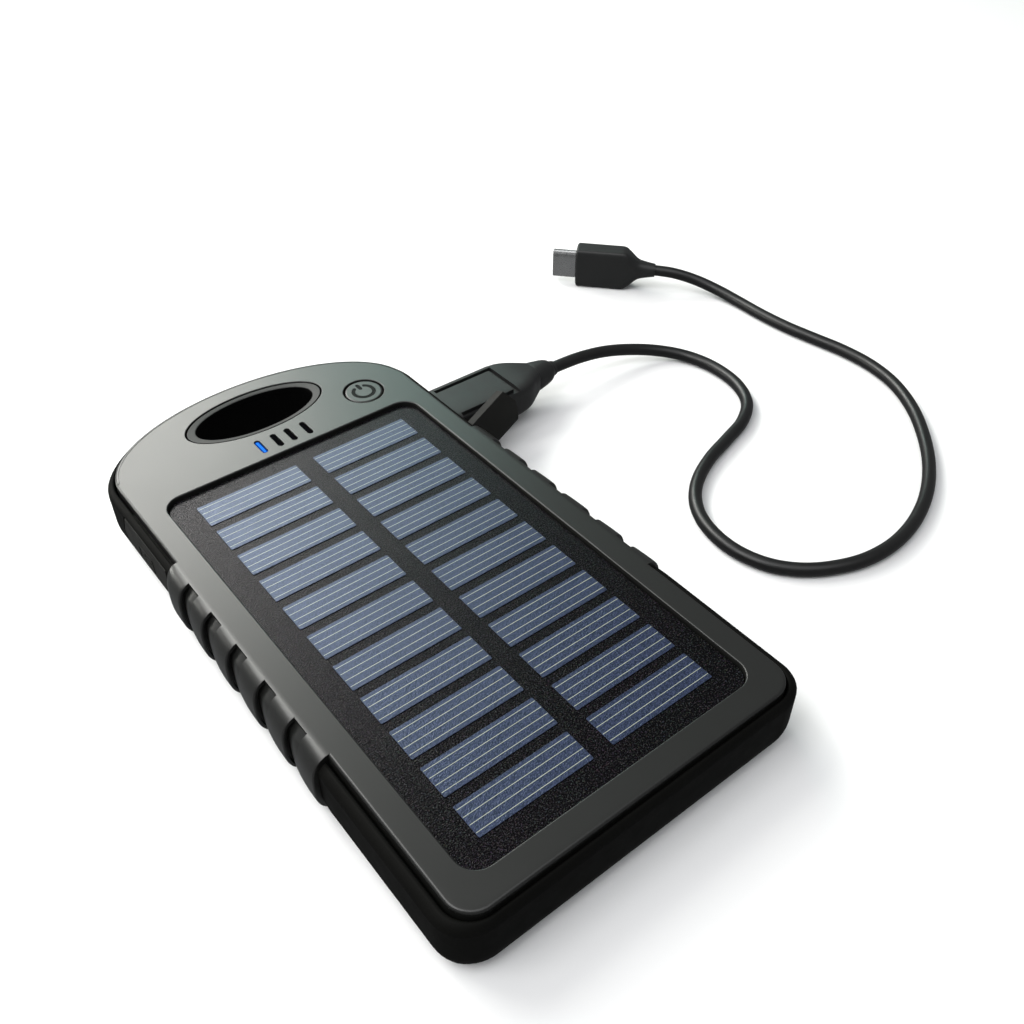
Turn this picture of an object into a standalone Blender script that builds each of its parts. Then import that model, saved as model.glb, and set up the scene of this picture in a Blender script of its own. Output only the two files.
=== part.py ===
"""Rugged solar phone charger with a plugged-in charging cable, at its real size.

Frame: +X towards the cable's socket, +Y towards the handle, +Z up out of the solar panel.
The origin is the centre of the flat back, which lies on z = 0. Sizes are in millimetres until MM turns them
into metres.
"""

import math

import bmesh
import bpy
from mathutils import Matrix, Vector

MM = 0.001

# Outline of the grey face: straight sides, round bottom corners and a half ellipse over the handle.
FACE_HALF = 34.8
FACE_BOTTOM = -69.1
FACE_CORNER = 4.9
ARCH_START = 49.6
ARCH_RISE = 19.8

# Heights of the layers.
BODY_TOP = 14.0
REAR_FLOOR = 1.6
SPLIT = 9.7
POCKET_FLOOR = 11.2
ROOF = 12.0
PANEL_TOP = 13.0
GAP = 0.3

# Outlines of the other shells, as distances outside the face's outline.
REAR_OUT = -1.2
WALL = 1.6
BUMPER_OUT = 1.7
BUMPER_IN = -0.9
BUMPER_LIP_IN = 0.45
BUMPER_LOW = 0.3
BUMPER_HIGH = 13.2
BUMPER_ROUND = 2.2

# Window of the solar panel, and its cells.
WINDOW_HALF = 29.9
WINDOW_LOW = -64.0
WINDOW_HIGH = 40.1
WINDOW_CORNER = 3.9
CELL_ROWS = 11
CELL_PITCH = 8.78
CELL_TOP = 35.4
CELL_LENGTH = 22.6
CELL_WIDTH = 6.7
CELL_INNER = 2.05
CELL_THICK = 0.1
LAYER_GAP = 0.05

# Handle hole.
HOLE_Y = 57.0
HOLE_RX, HOLE_RY = 14.1, 6.5
TRIM_RX, TRIM_RY = 16.1, 7.5
SLEEVE_RX, SLEEVE_RY = 15.1, 7.2
TRIM_LOW = 12.3

# Grip wings down both sides, in overlapping scales.
WING_TOP_Y = 22.3
SCALE_ENDS = (15.9, 6.7, -3.0, -13.3, -23.3, -33.1)
WING_CENTRE_X, WING_CENTRE_Z = 34.0, 7.2
WING_REACH = 4.25
WING_RISE = 6.8
WING_DROP = 6.3
WING_STEPS = 12
WING_INNER = 35.3
WING_RECESS = 35.0
SCALE_DEPTH = 1.5
SCALE_STEP = 0.02
NOTCH_LENGTH = 4.2
NOTCH_DEPTH = 1.0
NOTCH_DROP = 1.2

# Power button and its switch.
BUTTON_X, BUTTON_Y = 23.3, 48.75
BUTTON_R = 4.35
BUTTON_HOLE_R = 4.65
BUTTON_FLANGE_R = 5.2
BUTTON_TRAVEL = 0.45
PLUNGER_TOP = 8.2

# Indicator lights.
LED_XS = (-5.15, -1.3, 2.04, 5.88)
LED_Y = 44.55
SLOT_LENGTH, SLOT_WIDTH = 5.1, 1.35

# Circuit board and the screws that hold the shells together.
BOARD_LOW, BOARD_HIGH = 2.8, 4.0
SCREWS = ((29.9, -64.6), (-29.9, -64.6), (21.6, 59.9), (-21.6, 59.9))
SCREW_R = 0.8
SCREW_HEAD_R = 1.7
SCREW_POST_R = 2.6
SCREW_DRIVE = ((1.1, 0.2), (0.2, 1.1))
BOARD_POSTS = ((-27, 26), (14, 26), (-27, 46), (27, 52))
BOARD_POST_R = 1.5

# Ports and flaps.
PORT_Z = 7.0
USB_Y = 37.2
SOCKET_HALF_WIDTH, SOCKET_HALF_HEIGHT = 6.55, 2.85
PLUG_SHELL_START, PLUG_SHELL_END = 22.2, 34.6
PLUG_SHELL_HALF_WIDTH, PLUG_SHELL_HALF_HEIGHT = 6.0, 2.25
SHEET = 0.3
SOCKET_BACK, SOCKET_MOUTH = 20.4, 33.9
MICRO_USB_Y = 36.0
MICRO_USB_HALF_WIDTH, MICRO_USB_HEIGHT = 3.7, 2.6
FLAP_LOW_Y, FLAP_HIGH_Y = 24.0, 46.3
FLAP_LOW_Z, FLAP_HIGH_Z = 1.9, 11.7
FLAP_POINT = 2.4
FLAP_BACK = 34.4
FLAP_HINGE_X = 36.2
FLAP_SWING_ROOM = 0.4
FLAP_OPEN = math.radians(84.0)
# The open flap's soft strap lets its pivot lean, so its tip stands a little higher than its root.
FLAP_LEAN = math.radians(20.0)

# Charging cable.
PLUG_START = 34.9
PLUG_STRAIGHT = 57.0
PLUG_END = 63.5
RELIEF_END = 69.5
PLUG_WIDTH, PLUG_HEIGHT = 14.2, 7.6
GROOVE_START, GROOVE_END, GROOVE_WIDTH, GROOVE_DEPTH = 38.3, 54.6, 0.9, 0.4
GROOVE_HALF_SPREAD = 5.2
CORD_D = 3.1
CORD_STEP = 7.6
CONNECTOR_TALL, CONNECTOR_THICK = 11.4, 6.2
# The cord's route from the plug to the small connector. It settles on the surface soon after the plug.
CORD_ROUTE = (
    (69.8, 37.2, 7.0), (79.0, 37.1, 6.6), (88.0, 36.3, 5.4), (97.2, 33.6, 3.6), (104.0, 29.2, 2.2),
    (107.6, 23.2, 1.65), (108.5, 16.0, 1.6), (107.2, 8.6, 1.6), (103.2, 1.8, 1.6), (96.4, -2.8, 1.6),
    (88.0, -5.5, 1.6), (79.8, -8.0, 1.6), (72.6, -11.4, 1.6), (67.0, -15.8, 1.6), (63.2, -21.4, 1.6),
    (61.4, -28.0, 1.6), (61.6, -34.4, 1.6), (63.8, -40.4, 1.6), (68.0, -45.3, 1.6), (73.9, -49.0, 1.6),
    (81.0, -51.4, 1.6), (89.4, -51.9, 1.6), (98.8, -50.2, 1.6), (108.4, -46.3, 1.6), (117.4, -40.6, 1.6),
    (125.6, -33.4, 1.6), (133.0, -25.0, 1.6), (138.4, -15.8, 1.6), (140.9, -6.6, 1.6), (141.0, 2.4, 1.6),
    (139.8, 10.6, 1.6), (138.6, 19.0, 1.6), (138.2, 28.0, 1.6), (138.4, 36.6, 1.7), (137.6, 43.8, 2.4),
    (134.8, 50.2, 3.9), (130.6, 55.2, 5.4), (126.4, 59.9, 5.85),
)

COLOURS = {
    "shell": ((0.165, 0.175, 0.160), 0.45, 0.0),
    "rubber": ((0.012, 0.012, 0.012), 0.6, 0.0),
    "rear": ((0.02, 0.02, 0.02), 0.55, 0.0),
    "board_skin": ((0.02, 0.018, 0.022), 0.5, 0.0),
    "cell": ((0.07, 0.10, 0.24), 0.35, 0.0),
    "tape": ((0.35, 0.35, 0.33), 0.8, 0.0),
    "clear": ((0.03, 0.03, 0.035), 0.25, 0.0),
    "pcb": ((0.01, 0.09, 0.03), 0.45, 0.0),
    "steel": ((0.55, 0.55, 0.55), 0.3, 1.0),
    "black_plastic": ((0.02, 0.02, 0.02), 0.45, 0.0),
    "white_plastic": ((0.7, 0.7, 0.68), 0.45, 0.0),
    "foil": ((0.55, 0.56, 0.58), 0.35, 1.0),
    "red_wire": ((0.45, 0.02, 0.02), 0.5, 0.0),
}


# ---- Scene, collections and materials -------------------------------------------------------------------


def clear_scene():
    for obj in list(bpy.data.objects):
        bpy.data.objects.remove(obj, do_unlink=True)


def new_collection(name):
    coll = bpy.data.collections.new(name)
    bpy.context.scene.collection.children.link(coll)
    return coll


def material(key):
    found = bpy.data.materials.get(key)
    if found:
        return found
    colour, roughness, metallic = COLOURS[key]
    mat = bpy.data.materials.new(key)
    mat.use_nodes = True
    shader = mat.node_tree.nodes["Principled BSDF"]
    shader.inputs["Base Color"].default_value = (*colour, 1.0)
    shader.inputs["Roughness"].default_value = roughness
    shader.inputs["Metallic"].default_value = metallic
    mat.diffuse_color = (*colour, 1.0)
    return mat


clear_scene()
PARTS = new_collection("solar_phone_charger")
CUTTERS = new_collection("cutters")


def add(name, mesh, key=None):
    """Puts a mesh or curve in the scene: as a part with its material, or as a cutter where key is None."""
    obj = bpy.data.objects.new(name, mesh)
    if key:
        PARTS.objects.link(obj)
        mesh.materials.append(material(key))
    else:
        CUTTERS.objects.link(obj)
        obj.hide_render = True
        obj.display_type = "WIRE"
    return obj


# ---- Basic shapes, all in millimetres -------------------------------------------------------------------


def finish_mesh(name, bm, key):
    bmesh.ops.remove_doubles(bm, verts=bm.verts, dist=1e-6)
    bmesh.ops.recalc_face_normals(bm, faces=bm.faces)
    mesh = bpy.data.meshes.new(name)
    bm.to_mesh(mesh)
    bm.free()
    return add(name, mesh, key)


def box(name, low, high, key=None):
    bm = bmesh.new()
    bmesh.ops.create_cube(bm, size=1.0)
    size = Vector(high) - Vector(low)
    centre = (Vector(high) + Vector(low)) / 2
    bmesh.ops.scale(bm, vec=size * MM, verts=bm.verts)
    bmesh.ops.translate(bm, vec=centre * MM, verts=bm.verts)
    return finish_mesh(name, bm, key)


def cylinder(name, x, y, r, low, high, key=None, segments=24, r_high=None):
    bm = bmesh.new()
    bmesh.ops.create_cone(
        bm, cap_ends=True, segments=segments, radius1=r * MM,
        radius2=(r if r_high is None else r_high) * MM, depth=(high - low) * MM,
    )
    bmesh.ops.translate(bm, vec=Vector((x, y, (low + high) / 2)) * MM, verts=bm.verts)
    return finish_mesh(name, bm, key)


# How a flat outline's own (u, v, w) turns into (x, y, z).
PLANES = {
    "XY": Matrix.Identity(4),
    "YZ": Matrix(((0, 0, 1, 0), (1, 0, 0, 0), (0, 1, 0, 0), (0, 0, 0, 1))),
}


def flat_solid(name, loops, low, high, key=None, plane="XY"):
    """A flat outline, with holes where there is more than one loop, given thickness from low to high."""
    curve = bpy.data.curves.new(name, "CURVE")
    curve.dimensions = "2D"
    curve.fill_mode = "BOTH"
    curve.extrude = (high - low) / 2 * MM
    for loop in loops:
        spline = curve.splines.new("POLY")
        spline.points.add(len(loop) - 1)
        for point, (u, v) in zip(spline.points, loop):
            point.co = (u * MM, v * MM, 0.0, 1.0)
        spline.use_cyclic_u = True
    guide = bpy.data.objects.new(name + "_outline", curve)
    CUTTERS.objects.link(guide)
    evaluated = guide.evaluated_get(bpy.context.evaluated_depsgraph_get())
    mesh = bpy.data.meshes.new_from_object(evaluated)
    bm = bmesh.new()
    bm.from_mesh(mesh)
    bpy.data.objects.remove(guide, do_unlink=True)
    bpy.data.meshes.remove(mesh)
    bmesh.ops.translate(bm, vec=Vector((0, 0, (low + high) / 2 * MM)), verts=bm.verts)
    bm.transform(PLANES[plane])
    return finish_mesh(name, bm, key)


def loft(name, rings, key=None):
    """Joins rings of equally many points, in order, and closes both ends."""
    bm = bmesh.new()
    rows = [[bm.verts.new(Vector(point) * MM) for point in ring] for ring in rings]
    for near, far in zip(rows, rows[1:]):
        for i in range(len(near)):
            j = (i + 1) % len(near)
            bm.faces.new((near[i], near[j], far[j], far[i]))
    bm.faces.new(rows[0])
    bm.faces.new(rows[-1])
    return finish_mesh(name, bm, key)


def tube(name, points, diameter, key):
    """A round wire or cord along points."""
    curve = bpy.data.curves.new(name, "CURVE")
    curve.dimensions = "3D"
    curve.bevel_depth = diameter / 2 * MM
    curve.bevel_resolution = 2
    curve.use_fill_caps = True
    spline = curve.splines.new("POLY")
    spline.points.add(len(points) - 1)
    for point, place in zip(spline.points, points):
        point.co = (*(Vector(place) * MM), 1.0)
    return add(name, curve, key)


# ---- Outlines ------------------------------------------------------------------------------------------


def arc(x, y, rx, ry, start, end, steps):
    """Points of an ellipse's arc, both ends included, angles in degrees."""
    angles = [math.radians(start + (end - start) * i / steps) for i in range(steps + 1)]
    return [(x + rx * math.cos(a), y + ry * math.sin(a)) for a in angles]


def oval(rx, ry, y=0.0, steps=40):
    return arc(0.0, y, rx, ry, 0, 360, steps)[:-1]


def rounded_box(low_x, low_y, high_x, high_y, r, steps=5):
    corners = ((high_x - r, low_y + r, -90), (high_x - r, high_y - r, 0),
               (low_x + r, high_y - r, 90), (low_x + r, low_y + r, 180))
    return [p for x, y, start in corners for p in arc(x, y, r, r, start, start + 90, steps)]


def body_outline(out):
    """The face's outline, moved outwards by a distance."""
    half = FACE_HALF + out
    r = FACE_CORNER + out
    low = FACE_BOTTOM - out
    points = arc(half - r, low + r, r, r, -90, 0, 5)
    points += arc(0.0, ARCH_START, half, ARCH_RISE + out, 0, 180, 32)
    points += arc(-half + r, low + r, r, r, 180, 270, 5)
    return points


def slot_outline(x, length, width):
    """An upright slot with round ends, centred on the row of lights."""
    r = width / 2
    reach = length / 2 - r
    return arc(x, LED_Y + reach, r, r, 0, 180, 6) + arc(x, LED_Y - reach, r, r, 180, 360, 6)


def flap_outline(gap):
    """The long hexagon of a port flap, in Y and Z, made smaller by a gap."""
    low, high = FLAP_LOW_Y + gap, FLAP_HIGH_Y - gap
    bottom, top = FLAP_LOW_Z + gap, FLAP_HIGH_Z - gap
    middle = (bottom + top) / 2
    return ((low, bottom), (high - FLAP_POINT, bottom), (high, middle), (high - FLAP_POINT, top), (low, top))


# ---- Modifiers -----------------------------------------------------------------------------------------


def boolean(obj, other, operation):
    mod = obj.modifiers.new(operation.lower() + "_" + other.name, "BOOLEAN")
    mod.operation = operation
    mod.object = other
    mod.solver = "EXACT"


def cut(obj, *cutters):
    for cutter in cutters:
        boolean(obj, cutter, "DIFFERENCE")


def join(obj, *others):
    for other in others:
        boolean(obj, other, "UNION")


def bevel(obj, width, segments):
    mod = obj.modifiers.new("round_edges", "BEVEL")
    mod.width = width * MM
    mod.segments = segments
    mod.limit_method = "ANGLE"
    mod.angle_limit = math.radians(50)


def smooth(obj, degrees=35):
    obj.data.shade_smooth()
    obj.data.set_sharp_from_angle(angle=math.radians(degrees))


def bake(obj):
    """Replaces an object's mesh by its evaluated one, and drops its modifiers."""
    evaluated = obj.evaluated_get(bpy.context.evaluated_depsgraph_get())
    mesh = bpy.data.meshes.new_from_object(evaluated)
    obj.modifiers.clear()
    obj.data = mesh


def set_origin(obj, x, y, z):
    """Moves an object's origin to a point and leaves its shape where it is."""
    place = Vector((x, y, z)) * MM
    obj.data.transform(Matrix.Translation(-place))
    obj.location = place


# ---- Shells --------------------------------------------------------------------------------------------


def wing_section(side, y, inset):
    """One upright section through a grip wing. inset narrows its outer curve."""
    reach = WING_REACH - inset
    ring = [(33.6, SPLIT + 0.2), (33.6, BODY_TOP - 0.3), (WING_CENTRE_X, BODY_TOP - 0.02 - inset * 0.25)]
    for step in range(1, WING_STEPS + 1):
        angle = math.radians(90 - 160 * step / WING_STEPS)
        ring.append((
            WING_CENTRE_X + reach * math.copysign(abs(math.cos(angle)) ** 0.72, math.cos(angle)),
            WING_CENTRE_Z + (WING_RISE - 0.02 - inset * 0.25 if angle > 0 else WING_DROP)
            * math.copysign(abs(math.sin(angle)) ** 0.85, math.sin(angle)),
        ))
    ring.append((WING_INNER, ring[-1][1] - 0.05))
    ring.append((WING_INNER, SPLIT + 0.2))
    return [(side * x, y, z) for x, z in ring]


def wing(side):
    """A grip wing: each scale starts narrow under the one before it and swells to full width."""
    swell = ((0.0, 1.0), (0.25, 0.55), (0.55, 0.18), (1.0, 0.0))
    rings = []
    start, depth = WING_TOP_Y, SCALE_DEPTH * 0.5
    for end in SCALE_ENDS:
        for share, part in swell:
            y = start + (end - start) * share
            rings.append(wing_section(side, y - (SCALE_STEP if share == 0 else 0), depth * part))
        start, depth = end, SCALE_DEPTH
    return loft("wing_right" if side > 0 else "wing_left", rings)


def notches(side):
    """Short cuts in the face's edge below each scale but the last."""
    for number, end in enumerate(SCALE_ENDS[:-1], 1):
        xs = sorted((side * (FACE_HALF - NOTCH_DEPTH), side * 40.0))
        yield box(f"notch_{'right' if side > 0 else 'left'}_{number}",
                  (xs[0], end - NOTCH_LENGTH, BODY_TOP - NOTCH_DROP), (xs[1], end, BODY_TOP + 1))


def make_front_frame():
    frame = flat_solid("front_frame", [body_outline(0)], SPLIT + 0.2, BODY_TOP, "shell")
    bevel(frame, 0.5, 1)
    window = rounded_box(-WINDOW_HALF, WINDOW_LOW, WINDOW_HALF, WINDOW_HIGH, WINDOW_CORNER)
    cut(
        frame,
        flat_solid("window_pocket", [window], POCKET_FLOOR, BODY_TOP + 1),
        flat_solid("handle_hole", [oval(TRIM_RX + GAP, TRIM_RY + GAP, HOLE_Y)], 0, BODY_TOP + 1),
        flat_solid("upper_room", [upper_room_outline()], SPLIT - 1, ROOF),
        cylinder("button_hole", BUTTON_X, BUTTON_Y, BUTTON_HOLE_R, SPLIT, BODY_TOP + 1, segments=32),
        box("lead_slot", (-6, 33, SPLIT - 1), (6, 37, BODY_TOP)),
        *[flat_solid(f"light_slot_{i}", [slot_outline(x, SLOT_LENGTH, SLOT_WIDTH)], SPLIT, BODY_TOP + 1)
          for i, x in enumerate(LED_XS, 1)],
    )
    for side in (1, -1):
        join(frame, wing(side))
        cut(frame, *notches(side))
        xs = sorted((side * (FLAP_BACK - GAP), side * 45.0))
        cut(frame, flat_solid(f"flap_room_{side}", [flap_outline(0)], *xs, plane="YZ"))
    for number, (x, y) in enumerate(SCREWS, 1):
        cut(frame, cylinder(f"screw_bite_{number}", x, y, SCREW_R + 0.15, SPLIT - 1, ROOF + 1.0, segments=16))
    smooth(frame)


def upper_room_outline():
    """Room under the roof above the panel, clear of the screws and the handle hole."""
    return ((-31.5, 42.0), (31.5, 42.0), (31.5, 54.0), (27.0, 55.6), (18.2, 55.6), (14.0, 47.4),
            (-14.0, 47.4), (-18.2, 55.6), (-27.0, 55.6), (-31.5, 54.0))


def make_bumper():
    ring = flat_solid("bumper_ring", [body_outline(BUMPER_OUT)], BUMPER_LOW, BUMPER_HIGH, "rubber")
    bevel(ring, BUMPER_ROUND, 3)
    cut(
        ring,
        flat_solid("bumper_core", [body_outline(BUMPER_IN)], -1, BODY_TOP + 1),
        flat_solid("bumper_lip_core", [body_outline(BUMPER_LIP_IN)], SPLIT - GAP, BODY_TOP + 1),
    )
    for side, name in ((1, "right"), (-1, "left")):
        xs = sorted((side * WING_RECESS, side * 45.0))
        cut(ring, box(f"wing_recess_{name}", (xs[0], SCALE_ENDS[-1] - GAP, -1),
                      (xs[1], WING_TOP_Y + GAP, 16)))
        xs = sorted((side * 30.0, side * 45.0))
        cut(ring, flat_solid(f"flap_pocket_{name}", [flap_outline(0)], *xs, plane="YZ"))
        xs = sorted((side * (FLAP_HINGE_X - 0.8), side * 45.0))
        cut(ring, box(f"flap_swing_room_{name}", (xs[0], FLAP_LOW_Y - FLAP_SWING_ROOM, FLAP_LOW_Z - 0.2),
                      (xs[1], FLAP_LOW_Y + 0.5, FLAP_HIGH_Z + 0.2)))
    smooth(ring)


def make_rear_cover():
    cover = flat_solid("rear_cover", [body_outline(REAR_OUT)], 0, SPLIT - GAP, "rear")
    bevel(cover, 0.6, 1)
    cut(cover, flat_solid("rear_room", [body_outline(REAR_OUT - WALL)], REAR_FLOOR, BODY_TOP))
    join(cover, flat_solid("handle_wall", [oval(SLEEVE_RX + 1.6, SLEEVE_RY + 1.6, HOLE_Y)],
                           0.4, SPLIT - 0.35))
    for number, (x, y) in enumerate(SCREWS, 1):
        join(cover, cylinder(f"screw_post_{number}", x, y, SCREW_POST_R, 0.5, SPLIT - 0.4, segments=20))
    for number, (x, y) in enumerate(BOARD_POSTS, 1):
        join(cover, cylinder(f"board_post_{number}", x, y, BOARD_POST_R, 0.4, BOARD_LOW - 0.1, segments=12))
    cut(cover, flat_solid("sleeve_hole", [oval(SLEEVE_RX + 0.2, SLEEVE_RY + 0.2, HOLE_Y)], -1, BODY_TOP))
    cut(
        cover,
        box("usb_opening", (28, USB_Y - 8.2, PORT_Z - 4.4), (40, USB_Y + 8.2, SPLIT + 1)),
        box("micro_usb_opening", (-40, MICRO_USB_Y - 4.2, BOARD_HIGH), (-28, MICRO_USB_Y + 4.2, SPLIT + 1)),
    )
    for number, (x, y) in enumerate(SCREWS, 1):
        cut(cover, cylinder(f"screw_way_{number}", x, y, SCREW_R + 0.25, -1, BODY_TOP, segments=16))
        cut(cover, cylinder(f"screw_sink_{number}", x, y, SCREW_HEAD_R + 0.4, -1, 1.9, segments=20))
    smooth(cover)


def make_handle():
    trim = flat_solid(
        "handle_trim_ring",
        [oval(TRIM_RX, TRIM_RY, HOLE_Y, 48), oval(HOLE_RX, HOLE_RY, HOLE_Y, 48)],
        TRIM_LOW, BODY_TOP - 0.15, "shell",
    )
    bevel(trim, 0.5, 1)
    smooth(trim)
    sleeve = flat_solid(
        "handle_sleeve",
        [oval(SLEEVE_RX, SLEEVE_RY, HOLE_Y, 48), oval(HOLE_RX, HOLE_RY, HOLE_Y, 48)],
        0.1, TRIM_LOW - 0.1, "rear",
    )
    smooth(sleeve)


def make_screws():
    for number, (x, y) in enumerate(SCREWS, 1):
        screw = cylinder(f"screw_{number}", x, y, SCREW_R, 1.0, ROOF - 0.2, "steel", segments=16)
        join(screw, cylinder(f"screw_head_{number}", x, y, SCREW_HEAD_R, 0.6, 1.8, segments=20))
        for turn, (u, v) in enumerate(SCREW_DRIVE):
            cut(screw, box(f"screw_drive_{number}_{turn}", (x - u, y - v, 0), (x + u, y + v, 1.1)))
        smooth(screw)


# ---- Solar panel ----------------------------------------------------------------------------------------


def make_panel():
    edge = WINDOW_HALF - 0.15
    board = rounded_box(-edge, WINDOW_LOW + 0.15, edge, WINDOW_HIGH - 0.15, WINDOW_CORNER - 0.15)
    flat_solid("panel_board", [board], PANEL_TOP - 1.5, PANEL_TOP, "board_skin")
    tape = rounded_box(-27, -61, 27, 31.5, 2, 3)
    flat_solid("panel_tape", [tape], POCKET_FLOOR + LAYER_GAP, PANEL_TOP - 1.5 - LAYER_GAP, "tape")
    low = PANEL_TOP + LAYER_GAP
    for row in range(CELL_ROWS):
        top = CELL_TOP - row * CELL_PITCH
        for side, column in ((-1, "left"), (1, "right")):
            xs = sorted((side * CELL_INNER, side * (CELL_INNER + CELL_LENGTH)))
            box(f"solar_cell_{column}_{row + 1:02d}", (xs[0], top - CELL_WIDTH, low),
                (xs[1], top, low + CELL_THICK), "cell")


# ---- Button, lights and circuit -------------------------------------------------------------------------


def make_button():
    button = cylinder("power_button", BUTTON_X, BUTTON_Y, BUTTON_R, ROOF - 1.0, BODY_TOP - 0.1, "shell", 40)
    join(
        button,
        cylinder("button_flange", BUTTON_X, BUTTON_Y, BUTTON_FLANGE_R, ROOF - 1.1, ROOF - 0.1, segments=40),
        cylinder("button_stem", BUTTON_X, BUTTON_Y, 1.6, PLUNGER_TOP + 0.1, ROOF - 0.6, segments=20),
    )
    smooth(button)
    bake(button)
    set_origin(button, BUTTON_X, BUTTON_Y, BODY_TOP)
    body_top = BOARD_HIGH + 3.5
    low, high = BOARD_HIGH + 0.1, body_top
    body = box("switch_body", (BUTTON_X - 3, BUTTON_Y - 3, low), (BUTTON_X + 3, BUTTON_Y + 3, high),
               "black_plastic")
    cut(body, cylinder("switch_bore", BUTTON_X, BUTTON_Y, 1.65, body_top - 1.4, 12, segments=24))
    plunger = cylinder("switch_plunger", BUTTON_X, BUTTON_Y, 1.45, body_top - 0.7, PLUNGER_TOP,
                       "white_plastic", 24)
    smooth(plunger)
    set_origin(plunger, BUTTON_X, BUTTON_Y, PLUNGER_TOP)


def make_lights():
    bar = box("light_guide", (LED_XS[0] - 1.6, LED_Y - 1.6, 9.9), (LED_XS[-1] + 1.6, LED_Y + 1.6, 11.4), "clear")
    for number, x in enumerate(LED_XS, 1):
        outline = slot_outline(x, SLOT_LENGTH - 0.3, SLOT_WIDTH - 0.3)
        join(bar, flat_solid(f"light_prong_{number}", [outline], 5.2, BODY_TOP - 0.2))
        box(f"indicator_led_{number}", (x - 0.8, LED_Y - 0.4, BOARD_HIGH + 0.1),
            (x + 0.8, LED_Y + 0.4, BOARD_HIGH + 0.8), "white_plastic")


def make_circuit():
    outline = ((-30.5, 23.5), (30.5, 23.5), (30.5, 53.5), (19.2, 53.5), (17.6, 47.6), (-17.6, 47.6),
               (-19.2, 50.0), (-30.5, 50.0))
    flat_solid("circuit_board", [outline], BOARD_LOW, BOARD_HIGH, "pcb")
    low = BOARD_HIGH + 0.1
    box("charge_controller_chip", (-8, 27, low), (-3, 32, low + 1.1), "black_plastic")
    inductor = flat_solid("inductor", [rounded_box(2, 27, 9, 34, 1.4, 3)], low, low + 3.6, "black_plastic")
    bevel(inductor, 0.4, 1)
    capacitor = cylinder("capacitor", -15, 30, 2.5, low, low + 5.2, "foil", 24)
    bevel(capacitor, 0.3, 1)
    smooth(capacitor)


def hollow_box(name, low, high, wall, key, open_end):
    """A box tube along X: closed at the end away from open_end, which is 1 or -1."""
    shell = box(name, low, high, key)
    inner_low = [low[0] + wall, low[1] + wall, low[2] + wall]
    inner_high = [high[0] - wall, high[1] - wall, high[2] - wall]
    if open_end > 0:
        inner_high[0] = high[0] + 1
    else:
        inner_low[0] = low[0] - 1
    cut(shell, box(name + "_room", inner_low, inner_high))
    return shell


def make_sockets():
    half_w, half_h = SOCKET_HALF_WIDTH, SOCKET_HALF_HEIGHT
    hollow_box("usb_socket_shell", (SOCKET_BACK, USB_Y - half_w, PORT_Z - half_h),
               (SOCKET_MOUTH, USB_Y + half_w, PORT_Z + half_h), SHEET, "steel", 1)
    box("usb_socket_tongue", (SOCKET_BACK + 0.35, USB_Y - 5.5, PORT_Z + 0.1),
        (SOCKET_MOUTH - 1.0, USB_Y + 5.5, PORT_Z + 1.75), "white_plastic")
    low = BOARD_HIGH + 0.1
    hollow_box("micro_usb_socket", (-33.9, MICRO_USB_Y - MICRO_USB_HALF_WIDTH, low),
               (-28.6, MICRO_USB_Y + MICRO_USB_HALF_WIDTH, low + MICRO_USB_HEIGHT), SHEET, "steel", -1)


def make_battery():
    pouch = flat_solid("battery_pouch", [rounded_box(-29, -62, 29, 20, 2.0, 4)], REAR_FLOOR + 0.3, 8.4, "foil")
    bevel(pouch, 1.2, 2)
    smooth(pouch)
    tube("battery_leads", ((-10, 20.3, 5), (-10, 21.6, 5.2), (-11, 23.2, 6.0), (-12.5, 25.0, 6.2),
                           (-13.6, 26.6, 5.4), (-14, 26.9, 4.8)), 1.2, "red_wire")
    tube("panel_leads", ((2, 35, 11.3), (1.6, 35.4, 10.6), (0.6, 36.8, 8.2), (-0.4, 37.6, 6.2),
                         (-1, 38, 4.9)), 1.0, "red_wire")


# ---- Port flaps -----------------------------------------------------------------------------------------


def make_flap(name, side):
    """A flap that fills its pocket in the bumper; its outside is the bumper's own surface."""
    flap = flat_solid(name, [body_outline(BUMPER_OUT)], BUMPER_LOW, BUMPER_HIGH, "rubber")
    bevel(flap, BUMPER_ROUND, 3)
    xs = sorted((side * FLAP_BACK, side * 45.0))
    boolean(flap, flat_solid(name + "_shape", [flap_outline(GAP)], *xs, plane="YZ"), "INTERSECT")
    bake(flap)
    smooth(flap)
    set_origin(flap, side * FLAP_HINGE_X, FLAP_LOW_Y + GAP, PORT_Z)
    return flap


# ---- Charging cable -------------------------------------------------------------------------------------


def plug_section(x, width, height, power):
    """An upright section of the plug's grip: a rectangle at a high power, an ellipse at 2."""
    ring = []
    for step in range(24):
        angle = 2 * math.pi * (step + 0.5) / 24
        c, s = math.cos(angle), math.sin(angle)
        ring.append((
            x,
            USB_Y + width / 2 * math.copysign(abs(c) ** (2 / power), c),
            PORT_Z + height / 2 * math.copysign(abs(s) ** (2 / power), s),
        ))
    return ring


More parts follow.
